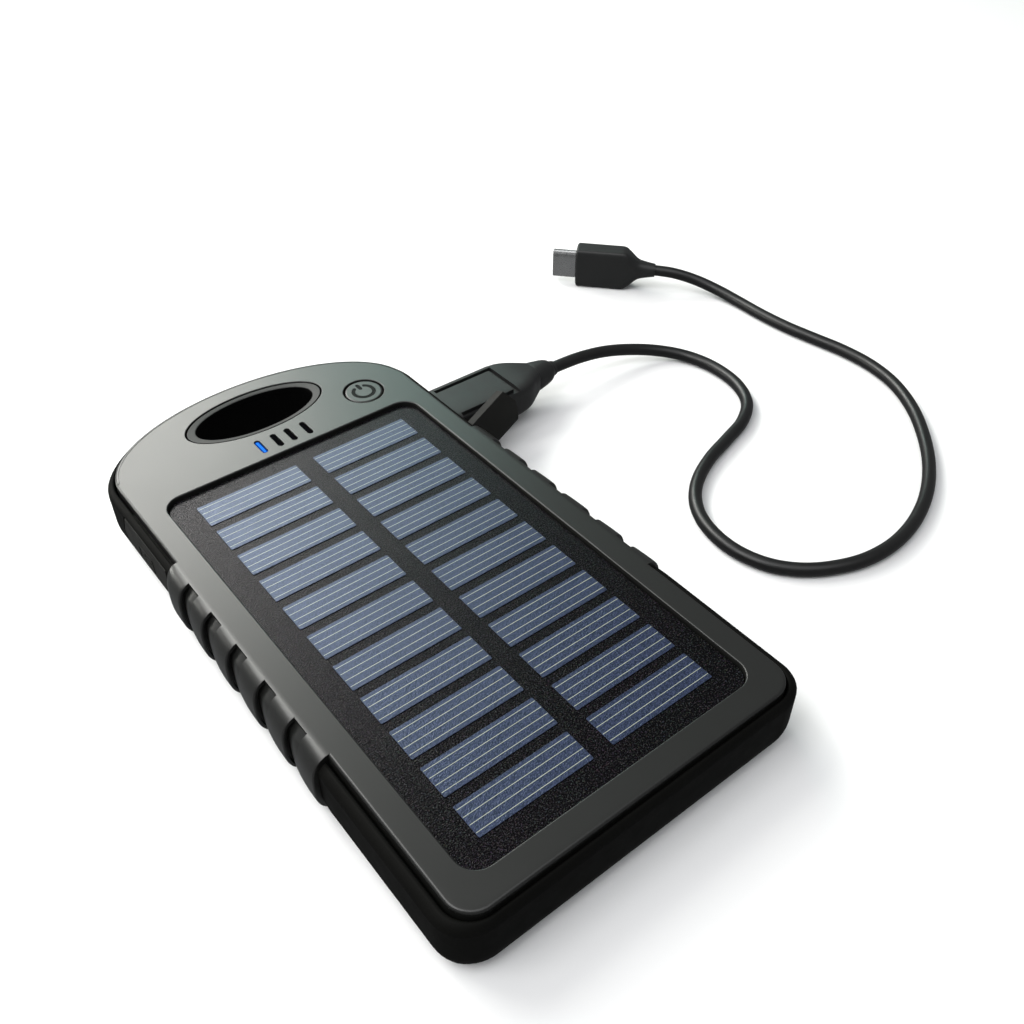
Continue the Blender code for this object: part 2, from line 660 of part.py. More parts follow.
def make_plug():
    half_w, half_h = PLUG_SHELL_HALF_WIDTH, PLUG_SHELL_HALF_HEIGHT
    hollow_box("usb_plug_shell", (PLUG_SHELL_START, USB_Y - half_w, PORT_Z - half_h),
               (PLUG_SHELL_END, USB_Y + half_w, PORT_Z + half_h), SHEET, "steel", -1)
    box("usb_plug_insulator", (22.5, USB_Y - 5.6, PORT_Z - 1.9), (34.2, USB_Y + 5.6, PORT_Z - 0.05),
        "white_plastic")
    w, h = PLUG_WIDTH, PLUG_HEIGHT
    sections = (
        (PLUG_START, w - 0.8, h - 0.8, 7), (PLUG_START + 0.5, w, h, 7), (PLUG_STRAIGHT - 2, w, h, 7),
        (PLUG_STRAIGHT, w - 0.6, h, 6), (59.2, 12.4, h - 0.2, 5), (61.4, 9.6, h - 0.5, 4),
        (PLUG_END, 7.4, h - 0.9, 3),
    )
    grip = loft("plug_overmold", [plug_section(*s) for s in sections], "rubber")
    top = PORT_Z + h / 2
    low_y, high_y, floor = USB_Y - GROOVE_HALF_SPREAD, USB_Y + GROOVE_HALF_SPREAD, top - GROOVE_DEPTH
    cut(
        grip,
        box("plug_groove_far", (GROOVE_START, high_y - GROOVE_WIDTH, floor), (GROOVE_END, high_y, top + 1)),
        box("plug_groove_near", (GROOVE_START, low_y, floor), (GROOVE_END, low_y + GROOVE_WIDTH, top + 1)),
        box("plug_groove_end", (GROOVE_END - GROOVE_WIDTH, low_y, floor), (GROOVE_END, high_y, top + 1)),
    )
    smooth(grip, 40)
    sections = ((PLUG_END + 0.3, 7.3, 6.6, 2.6), (65.4, 6.8, 6.4, 2.2), (67.4, 6.2, 6.2, 2), (68.8, 5.2, 5.2, 2),
                (RELIEF_END, 3.9, 3.9, 2))
    relief = loft("plug_strain_relief", [plug_section(*s) for s in sections], "rubber")
    smooth(relief, 60)


def smooth_route(points, step):
    """Evenly spaced points on a smooth curve through the given ones."""
    points = [Vector(p) for p in points]
    ends = [2 * points[0] - points[1]] + points + [2 * points[-1] - points[-2]]
    fine = []
    for a, b, c, d in zip(ends, ends[1:], ends[2:], ends[3:]):
        for i in range(12):
            t = i / 12
            fine.append(0.5 * (2 * b + (c - a) * t + (2 * a - 5 * b + 4 * c - d) * t * t
                               + (3 * b - a - 3 * c + d) * t ** 3))
    fine.append(points[-1])
    lengths = [0.0]
    for a, b in zip(fine, fine[1:]):
        lengths.append(lengths[-1] + (b - a).length)
    count = round(lengths[-1] / step)
    even, at = [], 0
    for i in range(count + 1):
        goal = lengths[-1] * i / count
        while at < len(fine) - 2 and lengths[at + 1] < goal:
            at += 1
        share = (goal - lengths[at]) / (lengths[at + 1] - lengths[at])
        even.append(fine[at].lerp(fine[at + 1], min(share, 1.0)))
    return even


def make_cord():
    tube("cord", smooth_route(CORD_ROUTE, CORD_STEP), CORD_D, "rubber")


def make_connector():
    """The small connector stands on its narrow edge, in line with the cord's end."""
    end, before = Vector(CORD_ROUTE[-1]), Vector(CORD_ROUTE[-2])
    along = (end - before)
    along.z = 0
    along.normalize()
    across = Vector((-along.y, along.x, 0))
    start = Vector((end.x, end.y, CONNECTOR_TALL / 2 + 0.1))

    def section(distance, tall, thick, power):
        ring = []
        for step in range(20):
            angle = 2 * math.pi * (step + 0.5) / 20
            c, s = math.cos(angle), math.sin(angle)
            ring.append(tuple(
                start + along * distance
                + across * (thick / 2 * math.copysign(abs(c) ** (2 / power), c))
                + Vector((0, 0, tall / 2 * math.copysign(abs(s) ** (2 / power), s)))
            ))
        return ring

    tall, thick = CONNECTOR_TALL, CONNECTOR_THICK
    body = loft("connector_overmold", [
        section(0.3, 4.0, 4.0, 2), section(1.5, 4.6, 4.6, 2.1), section(3.8, 5.6, 5.2, 2.5),
        section(5.6, 8.6, 5.8, 3.5), section(7.2, 11.0, thick, 5), section(8.4, tall, thick, 6),
        section(21.0, tall, thick, 6), section(21.6, tall - 0.8, thick - 0.8, 6)], "rubber")
    smooth(body, 40)
    tip = loft("connector_tip", [section(21.9, 8.3, 2.5, 3), section(28.4, 8.3, 2.5, 3)], "steel")
    cut(tip, loft("connector_tip_room", [section(22.6, 7.7, 1.9, 3), section(29.4, 7.7, 1.9, 3)]))
    smooth(tip, 40)


def main():
    make_front_frame()
    make_bumper()
    make_rear_cover()
    make_handle()
    make_screws()
    make_panel()
    make_button()
    make_lights()
    make_circuit()
    make_sockets()
    make_battery()
    make_flap("port_flap_left", -1)
    flap = make_flap("port_flap_right", 1)
    pivot = Vector((0, math.sin(FLAP_LEAN), math.cos(FLAP_LEAN)))
    flap.rotation_euler = Matrix.Rotation(-FLAP_OPEN, 3, pivot).to_euler()
    make_plug()
    make_cord()
    make_connector()


main()
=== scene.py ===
"""Looks of the rugged solar phone charger and its charging cable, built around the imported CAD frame.

Frame: +X towards the cable's socket, +Y towards the handle, +Z up out of the solar panel, with the flat back
on z = 0. Sizes are in millimetres until MM turns them into metres.
"""

import math

import bmesh
import bpy
from mathutils import Matrix, Vector


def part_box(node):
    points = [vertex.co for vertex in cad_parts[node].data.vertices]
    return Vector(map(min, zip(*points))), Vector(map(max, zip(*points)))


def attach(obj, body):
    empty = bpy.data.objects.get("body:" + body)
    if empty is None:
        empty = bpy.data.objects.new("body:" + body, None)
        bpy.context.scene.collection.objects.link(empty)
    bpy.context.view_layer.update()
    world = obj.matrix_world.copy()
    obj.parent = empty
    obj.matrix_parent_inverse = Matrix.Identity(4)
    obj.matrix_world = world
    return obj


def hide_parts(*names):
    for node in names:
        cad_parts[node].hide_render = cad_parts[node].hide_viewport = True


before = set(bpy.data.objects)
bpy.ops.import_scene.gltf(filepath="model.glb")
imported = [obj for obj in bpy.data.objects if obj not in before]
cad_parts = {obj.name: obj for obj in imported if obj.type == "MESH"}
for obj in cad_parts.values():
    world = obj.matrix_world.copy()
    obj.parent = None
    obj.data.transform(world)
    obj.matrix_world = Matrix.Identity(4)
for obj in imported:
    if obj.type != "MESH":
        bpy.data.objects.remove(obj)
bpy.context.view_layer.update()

MM = 0.001


def node_box(name):
    """Lowest and highest corner of a CAD node, in millimetres."""
    low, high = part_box(name)
    return Vector(low) / MM, Vector(high) / MM


# ---- Sizes ----------------------------------------------------------------------------------------------

# Grey face: straight sides, round bottom corners and a half ellipse over the handle.
FACE_HALF = 34.8
FACE_BOTTOM = -69.1
FACE_CORNER = 4.9
ARCH_START = 49.6
ARCH_RISE = 19.8
ARCH_STEPS = 120
FACE_TOP = node_box("front_frame")[1].z
SHELL_LOW = 9.9
RIM_ROUND = 0.55
FACE_INSET = 1.2
SEAM_OUT, SEAM_WIDTH, SEAM_DEPTH = 0.95, 0.14, 0.12
POCKET_FLOOR = 11.2
ROOF = 12.0
GAP = 0.3

# Window of the solar panel: the board fills it but for a hair's breadth.
BOARD_LOW, BOARD_HIGH = node_box("panel_board")
WINDOW_GAP = 0.15
WINDOW_CORNER = 3.9
WINDOW_ROUND = 0.28

# Handle hole, trim and sleeve.
HOLE_Y = 57.0
HOLE_RX, HOLE_RY = 14.1, 6.5
TRIM_RX, TRIM_RY = 16.1, 7.5

# Grip wings down both sides, in overlapping scales.
WING_TOP_Y = 22.3
SCALE_ENDS = (15.9, 6.7, -3.0, -13.3, -23.3, -33.1)
WING_CENTRE_X, WING_CENTRE_Z = 34.3, 7.2
WING_REACH, WING_DROP = 3.92, 6.6
WING_ACROSS, WING_UP = 0.85, 0.7
WING_RISE = FACE_TOP - WING_CENTRE_Z
SHOULDER_STEPS, SIDE_STEPS = 5, 20
SCALE_DEPTH = 1.25
SCALE_LIP = 0.25
SCALE_LIP_LENGTH = 0.45
NOTCH_LENGTH = 4.2
NOTCH_X = 35.3
NOTCH_DROP, NOTCH_FOOT = 0.65, 0.25
NOTCH_ANGLE = math.degrees(math.acos(((NOTCH_X - WING_CENTRE_X) / WING_REACH) ** (1 / WING_ACROSS)))
WING_FOOT_ANGLE = -72
CUT_DEPTH, CUT_SKIN = 1.1, 0.5

# Rubber bumper.
BUMPER_LOW, BUMPER_HIGH = node_box("bumper_ring")[0].z + 0.5, 13.2
BUMPER_OUT, BUMPER_IN = 1.7, -0.9
BUMPER_ROUND = 2.2
KEEL_WIDTH, KEEL_RISE = 1.9, 4.2
CORNER_SWELL, FLAP_SWELL = 0.85, 0.3
LIP_ROUND = 0.35
LIP_ANGLE = 50
BUMPER_SHELF = 9.4
WING_RECESS = 34.6

# Port flaps.
FLAP_LOW_Y, FLAP_HIGH_Y = 24.0, 46.3
FLAP_LOW_Z, FLAP_HIGH_Z = 1.9, 11.7
FLAP_POINT = 2.4
FLAP_BACK = 34.4
FLAP_HINGE_X = 36.2
FLAP_GAP = 0.3
FLAP_SWING_ROOM = 0.5
FLAP_OPEN = math.radians(84)
FLAP_LEAN = math.radians(20)
# The open flap is seen at these shares of the closed flap's length and height.
FLAP_SHORT, FLAP_LOWER = 0.7, 0.94
PORT_Z = 7.0

# Button and lights.
BUTTON_LOW, BUTTON_HIGH = node_box("power_button")
BUTTON_X = (BUTTON_LOW.x + BUTTON_HIGH.x) / 2
BUTTON_Y = (BUTTON_LOW.y + BUTTON_HIGH.y) / 2
BUTTON_R, BUTTON_HOLE_R, BUTTON_FLANGE_R = 4.35, 4.65, 5.2
SYMBOL_R, SYMBOL_STROKE = 2.35, 0.92
LED_XS = (-5.15, -1.3, 2.04, 5.88)
LED_Y = 44.55
SLOT_LENGTH, SLOT_WIDTH = 4.9, 1.3

# Charging cable.
PLUG_LOW, PLUG_HIGH = node_box("plug_overmold")
USB_Y = (PLUG_LOW.y + PLUG_HIGH.y) / 2
PLUG_WIDTH, PLUG_HEIGHT = PLUG_HIGH.y - PLUG_LOW.y, PLUG_HIGH.z - PLUG_LOW.z
RELIEF_LOW, RELIEF_HIGH = node_box("plug_strain_relief")
CORD_D = 3.0
# The cord's route from the plug to the small connector. It settles on the surface soon after the plug.
CORD_ROUTE = (
    (69.8, 37.2, 7.0), (79.0, 37.1, 6.6), (88.0, 36.3, 5.4), (97.2, 33.6, 3.6), (104.0, 29.2, 2.2),
    (107.6, 23.2, 1.65), (108.5, 16.0, 1.6), (107.2, 8.6, 1.6), (103.2, 1.8, 1.6), (96.4, -2.8, 1.6),
    (88.0, -5.5, 1.6), (79.8, -8.0, 1.6), (72.6, -11.4, 1.6), (67.0, -15.8, 1.6), (63.2, -21.4, 1.6),
    (61.4, -28.0, 1.6), (61.6, -34.4, 1.6), (63.8, -40.4, 1.6), (68.0, -45.3, 1.6), (73.9, -49.0, 1.6),
    (81.0, -51.4, 1.6), (89.4, -51.9, 1.6), (98.8, -50.2, 1.6), (108.4, -46.3, 1.6), (117.4, -40.6, 1.6),
    (125.6, -33.4, 1.6), (133.0, -25.0, 1.6), (138.4, -15.8, 1.6), (140.9, -6.6, 1.6), (141.0, 2.4, 1.6),
    (139.8, 10.6, 1.6), (138.6, 19.0, 1.6), (138.2, 28.0, 1.6), (138.4, 36.6, 1.7), (137.6, 43.8, 2.4),
    (134.8, 50.2, 3.9), (130.6, 55.2, 5.4), (126.4, 59.9, 5.85),
)
CONNECTOR_TALL, CONNECTOR_THICK = 11.4, 6.2


# ---- Materials ------------------------------------------------------------------------------------------


class Kit:
    """One procedural material while it is put together."""

    def __init__(self, name):
        self.mat = bpy.data.materials.new(name)
        self.mat.use_nodes = True
        self.tree = self.mat.node_tree
        self.shader = self.tree.nodes["Principled BSDF"]
        self.coords = self.tree.nodes.new("ShaderNodeTexCoord").outputs["Object"]

    def node(self, kind, inputs=None, **settings):
        made = self.tree.nodes.new(kind)
        for key, value in settings.items():
            setattr(made, key, value)
        for key, value in (inputs or {}).items():
            self.feed(made.inputs[key], value)
        return made

    def feed(self, socket, value):
        if isinstance(value, bpy.types.NodeSocket):
            self.tree.links.new(value, socket)
        elif isinstance(value, tuple) and len(value) == 3 and socket.type == "RGBA":
            socket.default_value = (*value, 1.0)
        else:
            socket.default_value = value

    def set(self, **values):
        """Feeds the shader's sockets, with _ for the spaces in their names."""
        for key, value in values.items():
            self.feed(self.shader.inputs[key.replace("_", " ")], value)

    def stretched(self, scale):
        return self.node("ShaderNodeMapping", {"Vector": self.coords, "Scale": scale}).outputs["Vector"]

    def noise(self, size, detail=2.0, stretch=None):
        """Soft noise whose features are about size millimetres across."""
        vector = self.stretched(stretch) if stretch else self.coords
        inputs = {"Vector": vector, "Scale": 1 / (size * MM), "Detail": detail}
        return self.node("ShaderNodeTexNoise", inputs).outputs["Fac"]

    def crystals(self, size, output="Distance"):
        inputs = {"Vector": self.coords, "Scale": 1 / (size * MM)}
        return self.node("ShaderNodeTexVoronoi", inputs).outputs[output]

    def remap(self, value, low, high, start=0.0, end=1.0):
        """Turns low..high into start..end, held at both ends."""
        inputs = {"Value": value, "From Min": low, "From Max": high, "To Min": start, "To Max": end}
        return self.node("ShaderNodeMapRange", inputs).outputs["Result"]

    def mix(self, share, first, second):
        made = self.node("ShaderNodeMix", data_type="RGBA")
        self.feed(made.inputs[0], share)
        self.feed(made.inputs[6], first)
        self.feed(made.inputs[7], second)
        return made.outputs[2]

    def times(self, first, second):
        return self.node("ShaderNodeMath", {0: first, 1: second}, operation="MULTIPLY").outputs[0]

    def bump(self, height, depth, before=None):
        """A relief depth millimetres high."""
        inputs = {"Height": height, "Distance": depth * MM, "Strength": 1.0}
        if before:
            inputs["Normal"] = before
        return self.node("ShaderNodeBump", inputs).outputs["Normal"]


def shade(colour, factor):
    return tuple(channel * factor for channel in colour)


def skin(name, colour, roughness, grain, depth, mottle=0.12, spread=0.06, drift=14.0, metallic=0.0, **sockets):
    """Moulded surface: its colour and gloss drift slowly, over a fine grain in relief."""
    kit = Kit(name)
    slow = kit.remap(kit.noise(drift, 3.0), 0.3, 0.7)
    fine = kit.noise(grain, 3.0)
    tint = kit.mix(slow, shade(colour, 1 - mottle), shade(colour, 1 + mottle))
    kit.set(
        Base_Color=kit.mix(kit.remap(fine, 0.3, 0.7, 0.0, 0.35), tint, shade(colour, 1 - 2.2 * mottle)),
        Roughness=kit.remap(kit.noise(drift / 4, 4.0), 0.25, 0.75, roughness - spread, roughness + spread),
        Normal=kit.bump(fine, depth),
        Metallic=metallic,
        **sockets,
    )
    return kit.mat


def make_panel_skin():
    """Dark textured laminate with a fine pale and coloured speckle."""
    kit = Kit("panel_skin")
    fine = kit.noise(0.26, 1.0)
    speckle = kit.remap(kit.noise(0.27, 1.0), 0.52, 0.72)
    slow = kit.remap(kit.noise(9.0, 2.0), 0.35, 0.65)
    hue = kit.node("ShaderNodeTexNoise", {"Vector": kit.coords, "Scale": 1 / (0.36 * MM)}).outputs["Color"]
    pale = kit.mix(0.4, kit.mix(slow, (0.035, 0.06, 0.055), (0.075, 0.035, 0.08)), hue)
    kit.set(
        Base_Color=kit.mix(kit.times(speckle, 0.11), (0.0001, 0.0001, 0.0004), pale),
        Roughness=kit.remap(fine, 0.3, 0.7, 0.18, 0.36),
        Normal=kit.bump(fine, 0.075),
        Specular_IOR_Level=0.14,
        Specular_Tint=(1.0, 0.92, 1.0),
    )
    return kit.mat


def make_cell_skin():
    """Slate-blue silicon under the same fine texture, with slow drifts from cell to cell."""
    kit = Kit("solar_cell")
    fine = kit.noise(0.26, 1.0)
    grain = kit.remap(kit.noise(0.3, 1.0, stretch=(0.6, 1.0, 1.0)), 0.36, 0.66)
    slow = kit.remap(kit.noise(9.0, 2.0), 0.3, 0.7)
    blue = kit.mix(slow, (0.003, 0.006, 0.017), (0.004, 0.008, 0.020))
    kit.set(
        Base_Color=kit.mix(grain, blue, (0.021, 0.027, 0.064)),
        Roughness=kit.remap(fine, 0.3, 0.7, 0.28, 0.44),
        Normal=kit.bump(fine, 0.075),
        Specular_IOR_Level=0.92,
        Specular_Tint=(0.56, 0.70, 1.0),
    )
    return kit.mat


def make_board_skin():
    """Green solder mask over a lattice of copper tracks, with tinned pads."""
    kit = Kit("circuit")
    tracks = kit.node(
        "ShaderNodeTexBrick",
        {"Vector": kit.coords, "Scale": 1 / (7 * MM), "Mortar Size": 0.035, "Color1": (0, 0, 0),
         "Color2": (0.25, 0.25, 0.25), "Mortar": (1, 1, 1)},
    ).outputs["Color"]
    pads = kit.remap(kit.crystals(2.4), 0.16, 0.12)
    masked = kit.mix(tracks, (0.006, 0.07, 0.025), (0.02, 0.16, 0.06))
    kit.set(
        Base_Color=kit.mix(pads, masked, (0.55, 0.55, 0.52)),
        Metallic=kit.times(pads, 0.9),
        Roughness=kit.remap(kit.noise(1.0), 0.3, 0.7, 0.28, 0.45),
        Normal=kit.bump(tracks, 0.03),
    )
    return kit.mat


def make_foil():
    """Crinkled aluminium laminate."""
    kit = Kit("foil")
    crinkle = kit.crystals(5.0, "Distance")
    soft = kit.noise(2.2, 4.0)
    kit.set(
        Base_Color=kit.mix(soft, (0.50, 0.51, 0.53), (0.68, 0.69, 0.71)),
        Metallic=0.9,
        Roughness=kit.remap(soft, 0.3, 0.7, 0.26, 0.42),
        Normal=kit.bump(soft, 0.06, kit.bump(crinkle, 0.12)),
    )
    return kit.mat


def make_steel():
    """Plated sheet with fine rolling marks along its length."""
    kit = Kit("steel")
    marks = kit.noise(0.35, 3.0, stretch=(0.05, 1.0, 1.0))
    slow = kit.noise(3.0, 3.0)
    kit.set(
        Base_Color=kit.mix(slow, (0.50, 0.50, 0.50), (0.66, 0.66, 0.65)),
        Metallic=1.0,
        Roughness=kit.remap(marks, 0.3, 0.7, 0.20, 0.36),
        Normal=kit.bump(marks, 0.006),
    )
    return kit.mat


def make_glow(name, colour, strength):
    """Light coming out of a moulded light guide, a little uneven along it."""
    kit = Kit(name)
    uneven = kit.noise(1.6, 2.0)
    kit.set(
        Base_Color=kit.mix(uneven, shade(colour, 0.8), colour),
        Roughness=kit.remap(uneven, 0.3, 0.7, 0.18, 0.3),
        Emission_Color=kit.mix(uneven, shade(colour, 0.85), colour),
        Emission_Strength=strength,
        Specular_IOR_Level=0.0,
        Normal=kit.bump(kit.noise(0.3), 0.004),
    )
    return kit.mat


MATERIALS = {
    "shell": skin("shell", (0.0088, 0.0092, 0.0084), 0.36, 0.09, 0.0022, mottle=0.04, spread=0.006, drift=24.0,
                  Specular_IOR_Level=0.6),
    "trim": skin("trim", (0.016, 0.016, 0.0155), 0.52, 0.09, 0.003, mottle=0.05, spread=0.01, drift=24.0,
                 Specular_IOR_Level=0.42),
    "rubber": skin("rubber", (0.0042, 0.0042, 0.0038), 0.58, 0.11, 0.006, mottle=0.15, Specular_IOR_Level=0.04),
    "flap": skin("flap_rubber", (0.013, 0.013, 0.0118), 0.54, 0.12, 0.006, mottle=0.15,
                 Specular_IOR_Level=0.14),
    "back": skin("back_plastic", (0.016, 0.0165, 0.016), 0.48, 0.22, 0.02, mottle=0.12),
    "sleeve": skin("sleeve_plastic", (0.0025, 0.0025, 0.0025), 0.7, 0.15, 0.01, Specular_IOR_Level=0.03),
    "grip": skin("cable_grip", (0.0125, 0.013, 0.013), 0.42, 0.10, 0.006, mottle=0.1,
                 Specular_IOR_Level=0.4),
    "cord": skin("cord_skin", (0.0045, 0.0045, 0.0045), 0.40, 0.16, 0.006, mottle=0.18, drift=8.0),
    "ink": skin("dark_ink", (0.006, 0.0075, 0.007), 0.6, 0.1, 0.003, Specular_IOR_Level=0.1),
    "smoke": skin("smoked_guide", (0.0025, 0.0025, 0.003), 0.3, 0.2, 0.002, Specular_IOR_Level=0.0),
    "tape": skin("tape", (0.45, 0.45, 0.42), 0.85, 0.25, 0.03),
    "black_plastic": skin("black_plastic", (0.014, 0.014, 0.014), 0.42, 0.12, 0.006),
    "white_plastic": skin("white_plastic", (0.62, 0.62, 0.59), 0.4, 0.15, 0.006, mottle=0.04),
    "phosphor": skin("led_phosphor", (0.62, 0.55, 0.18), 0.35, 0.15, 0.006, mottle=0.08),
    "ferrite": skin("ferrite", (0.032, 0.031, 0.033), 0.55, 0.12, 0.015),
    "wire": skin("wire", (0.42, 0.018, 0.014), 0.42, 0.15, 0.005),
    "contact": skin("contact_line", (0.40, 0.43, 0.36), 0.45, 0.1, 0.006, mottle=0.08, metallic=0.25),
    "panel": make_panel_skin(),
    "cell": make_cell_skin(),
    "circuit": make_board_skin(),
    "foil": make_foil(),
    "steel": make_steel(),
    "glow_rim": make_glow("light_rim", (0.002, 0.03, 0.18), 0.7),
    "glow_core": make_glow("light_core", (0.015, 0.13, 0.55), 0.7),
}


# ---- Pieces and shapes ----------------------------------------------------------------------------------


def piece(name, mesh, material, body="housing", stands_for=()):
    """Puts a finished mesh or curve in the scene: its material, its body and the CAD nodes it stands for."""
    obj = bpy.data.objects.new(name, mesh)
    bpy.context.scene.collection.objects.link(obj)
    mesh.materials.append(MATERIALS[material])
    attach(obj, body)
    if stands_for:
        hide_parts(*stands_for)
    return obj


def mesh_from(bm, name):
    bmesh.ops.remove_doubles(bm, verts=bm.verts, dist=1e-6)
    bmesh.ops.recalc_face_normals(bm, faces=bm.faces)
    mesh = bpy.data.meshes.new(name)
    bm.to_mesh(mesh)
    bm.free()
    return mesh


def skin_rows(bm, rows, around, along=False):
    """Faces between rows of vertices. around closes each row, along joins the last row to the first."""
    pairs = list(zip(rows, rows[1:]))
    if along:
        pairs.append((rows[-1], rows[0]))
    for near, far in pairs:
        count = len(near) if around else len(near) - 1
        for i in range(count):
            j = (i + 1) % len(near)
            bm.faces.new((near[i], near[j], far[j], far[i]))


def loft(name, rings):
    """A closed solid through rings of equally many points."""
    bm = bmesh.new()
    rows = [[bm.verts.new(Vector(point) * MM) for point in ring] for ring in rings]
    skin_rows(bm, rows, around=True)
    bm.faces.new(rows[0])
    bm.faces.new(rows[-1])
    return mesh_from(bm, name)


def hoop(name, stations):
    """A closed hoop: each station is one closed section of it."""
    bm = bmesh.new()
    rows = [[bm.verts.new(Vector(point) * MM) for point in section] for section in stations]
    skin_rows(bm, rows, around=True, along=True)
    return mesh_from(bm, name)


def block(low, high):
    """The corner rings of an upright box, for loft."""
    return [[(low[0], low[1], z), (high[0], low[1], z), (high[0], high[1], z), (low[0], high[1], z)]
            for z in (low[2], high[2])]


def joined(name, meshes):
    """Several meshes as one, each keeping its own closed surface."""
    bm = bmesh.new()
    for mesh in meshes:
        bm.from_mesh(mesh)
        bpy.data.meshes.remove(mesh)
    mesh = bpy.data.meshes.new(name)
    bm.to_mesh(mesh)
    bm.free()
    return mesh


def cut(mesh, cutter, operation="DIFFERENCE"):
    """The mesh after a Boolean with another mesh, which is used up."""
    body = bpy.data.objects.new("cut_body", mesh)
    tool = bpy.data.objects.new("cut_tool", cutter)
    for obj in (body, tool):
        bpy.context.scene.collection.objects.link(obj)
    mod = body.modifiers.new("cut", "BOOLEAN")
    mod.operation = operation
    mod.object = tool
    mod.solver = "EXACT"
    result = bpy.data.meshes.new_from_object(body.evaluated_get(bpy.context.evaluated_depsgraph_get()))
    result.name = mesh.name
    for obj, used in ((body, mesh), (tool, cutter)):
        bpy.data.objects.remove(obj)
        bpy.data.meshes.remove(used)
    return result


def finish_edges(obj, bevel=0.0, segments=2, angle=35, limit=40):
    """Rounds the sharp edges, and shades smoothly across the rest while flat faces stay flat."""
    obj.data.shade_smooth()
    obj.data.set_sharp_from_angle(angle=math.radians(angle))
    if bevel:
        mod = obj.modifiers.new("round_edges", "BEVEL")
        mod.width = bevel * MM
        mod.segments = segments
        mod.limit_method = "ANGLE"
        mod.angle_limit = math.radians(limit)
        mod.harden_normals = False
    weigh = obj.modifiers.new("flat_faces", "WEIGHTED_NORMAL")
    weigh.keep_sharp = True
    return obj


# ---- Outlines -------------------------------------------------------------------------------------------


def arc(x, y, rx, ry, start, end, steps):
    """Points of an ellipse's arc, both ends included, angles in degrees."""
    angles = [math.radians(start + (end - start) * i / steps) for i in range(steps + 1)]
    return [(x + rx * math.cos(a), y + ry * math.sin(a)) for a in angles]


def oval(rx, ry, x=0.0, y=0.0, steps=96):
    return arc(x, y, rx, ry, 0, 360, steps)[:-1]


def rounded_box(low_x, low_y, high_x, high_y, r, steps=12):
    corners = ((high_x - r, low_y + r, -90), (high_x - r, high_y - r, 0),
               (low_x + r, high_y - r, 90), (low_x + r, low_y + r, 180))
    return [p for x, y, start in corners for p in arc(x, y, r, r, start, start + 90, steps)]


def slot_outline(x, y, length, width, steps=10):
    r = width / 2
    reach = length / 2 - r
    return arc(x, y + reach, r, r, 0, 180, steps) + arc(x, y - reach, r, r, 180, 360, steps)


def window_outline(out):
    return rounded_box(BOARD_LOW.x - WINDOW_GAP - out, BOARD_LOW.y - WINDOW_GAP - out,
                       BOARD_HIGH.x + WINDOW_GAP + out, BOARD_HIGH.y + WINDOW_GAP + out, WINDOW_CORNER + out)


def body_outline(out, right=(), left=()):
    """The face's outline moved outwards, with extra points on its sides at the heights right and left."""
    half, r, low = FACE_HALF + out, FACE_CORNER + out, FACE_BOTTOM - out
    points = arc(half - r, low + r, r, r, -90, 0, 12)
    points += [(half, y) for y in right]
    points += arc(0.0, ARCH_START, half, ARCH_RISE + out, 0, 180, ARCH_STEPS)
    points += [(-half, y) for y in left]
    points += arc(-half + r, low + r, r, r, 180, 270, 12)
    return points


def raised(outline, z):
    return [(x, y, z) for x, y in outline]


def flared(name, outline, low, top, r, steps=5):
    """A cutter whose rim flares out, so the edge that it leaves at top is rounded to r."""
    rings = [raised(outline(0.0), low), raised(outline(0.0), top - r)]
    for step in range(1, steps + 1):
        angle = math.pi / 2 * step / steps
        rings.append(raised(outline(r * (1 - math.cos(angle))), top - r + r * math.sin(angle)))
    rings.append(raised(outline(r), top + 1.0))
    return loft(name, rings)


def pillar(name, outline, low, high):
    return loft(name, [raised(outline, low), raised(outline, high)])


def sideways(name, outline, low, high):
    """A solid whose outline is in Y and Z, from low to high along X."""
    return loft(name, [[(x, y, z) for y, z in outline] for x in (low, high)])


# ---- Grey shell -----------------------------------------------------------------------------------------


def signed_power(value, power):
    return math.copysign(abs(value) ** power, value)


def wing_point(angle, inset):
    """A point of a wing's section, as (distance outside the face, height). Angles are in degrees."""
    a = math.radians(angle)
    x = WING_CENTRE_X + (WING_REACH - inset) * signed_power(math.cos(a), WING_ACROSS)
    tall = WING_RISE - inset if angle > 0 else WING_DROP
    return x - FACE_HALF, WING_CENTRE_Z + tall * signed_power(math.sin(a), WING_UP)


def wing_profile(inset, in_notch):
    """One upright section through a wing, from the face downwards."""
    points = [(-FACE_INSET, FACE_TOP)]
    points += [wing_point(90 + (NOTCH_ANGLE - 90) * i / SHOULDER_STEPS, 0.0) for i in range(SHOULDER_STEPS + 1)]
    foot = round(SIDE_STEPS * NOTCH_FOOT)
    deep = max(inset, NOTCH_DROP)
    start = Vector((NOTCH_X - FACE_HALF + 0.02, FACE_TOP - deep))
    for i in range(SIDE_STEPS + 1):
        share = i / SIDE_STEPS
        angle = NOTCH_ANGLE + (WING_FOOT_ANGLE - NOTCH_ANGLE) * share
        if in_notch and i < foot:
            end = Vector(wing_point(NOTCH_ANGLE + (WING_FOOT_ANGLE - NOTCH_ANGLE) * NOTCH_FOOT, deep))
            points.append(tuple(start.lerp(end, i / foot)))
        elif in_notch:
            fade = min(1.0, (share - NOTCH_FOOT) / 0.2)
            points.append(wing_point(angle, deep + (inset - deep) * fade))
        else:
            points.append(wing_point(angle, inset * min(1.0, share / 0.3)))
    points.append((0.0, points[-1][1]))
    points.append((0.0, SHELL_LOW))
    return points


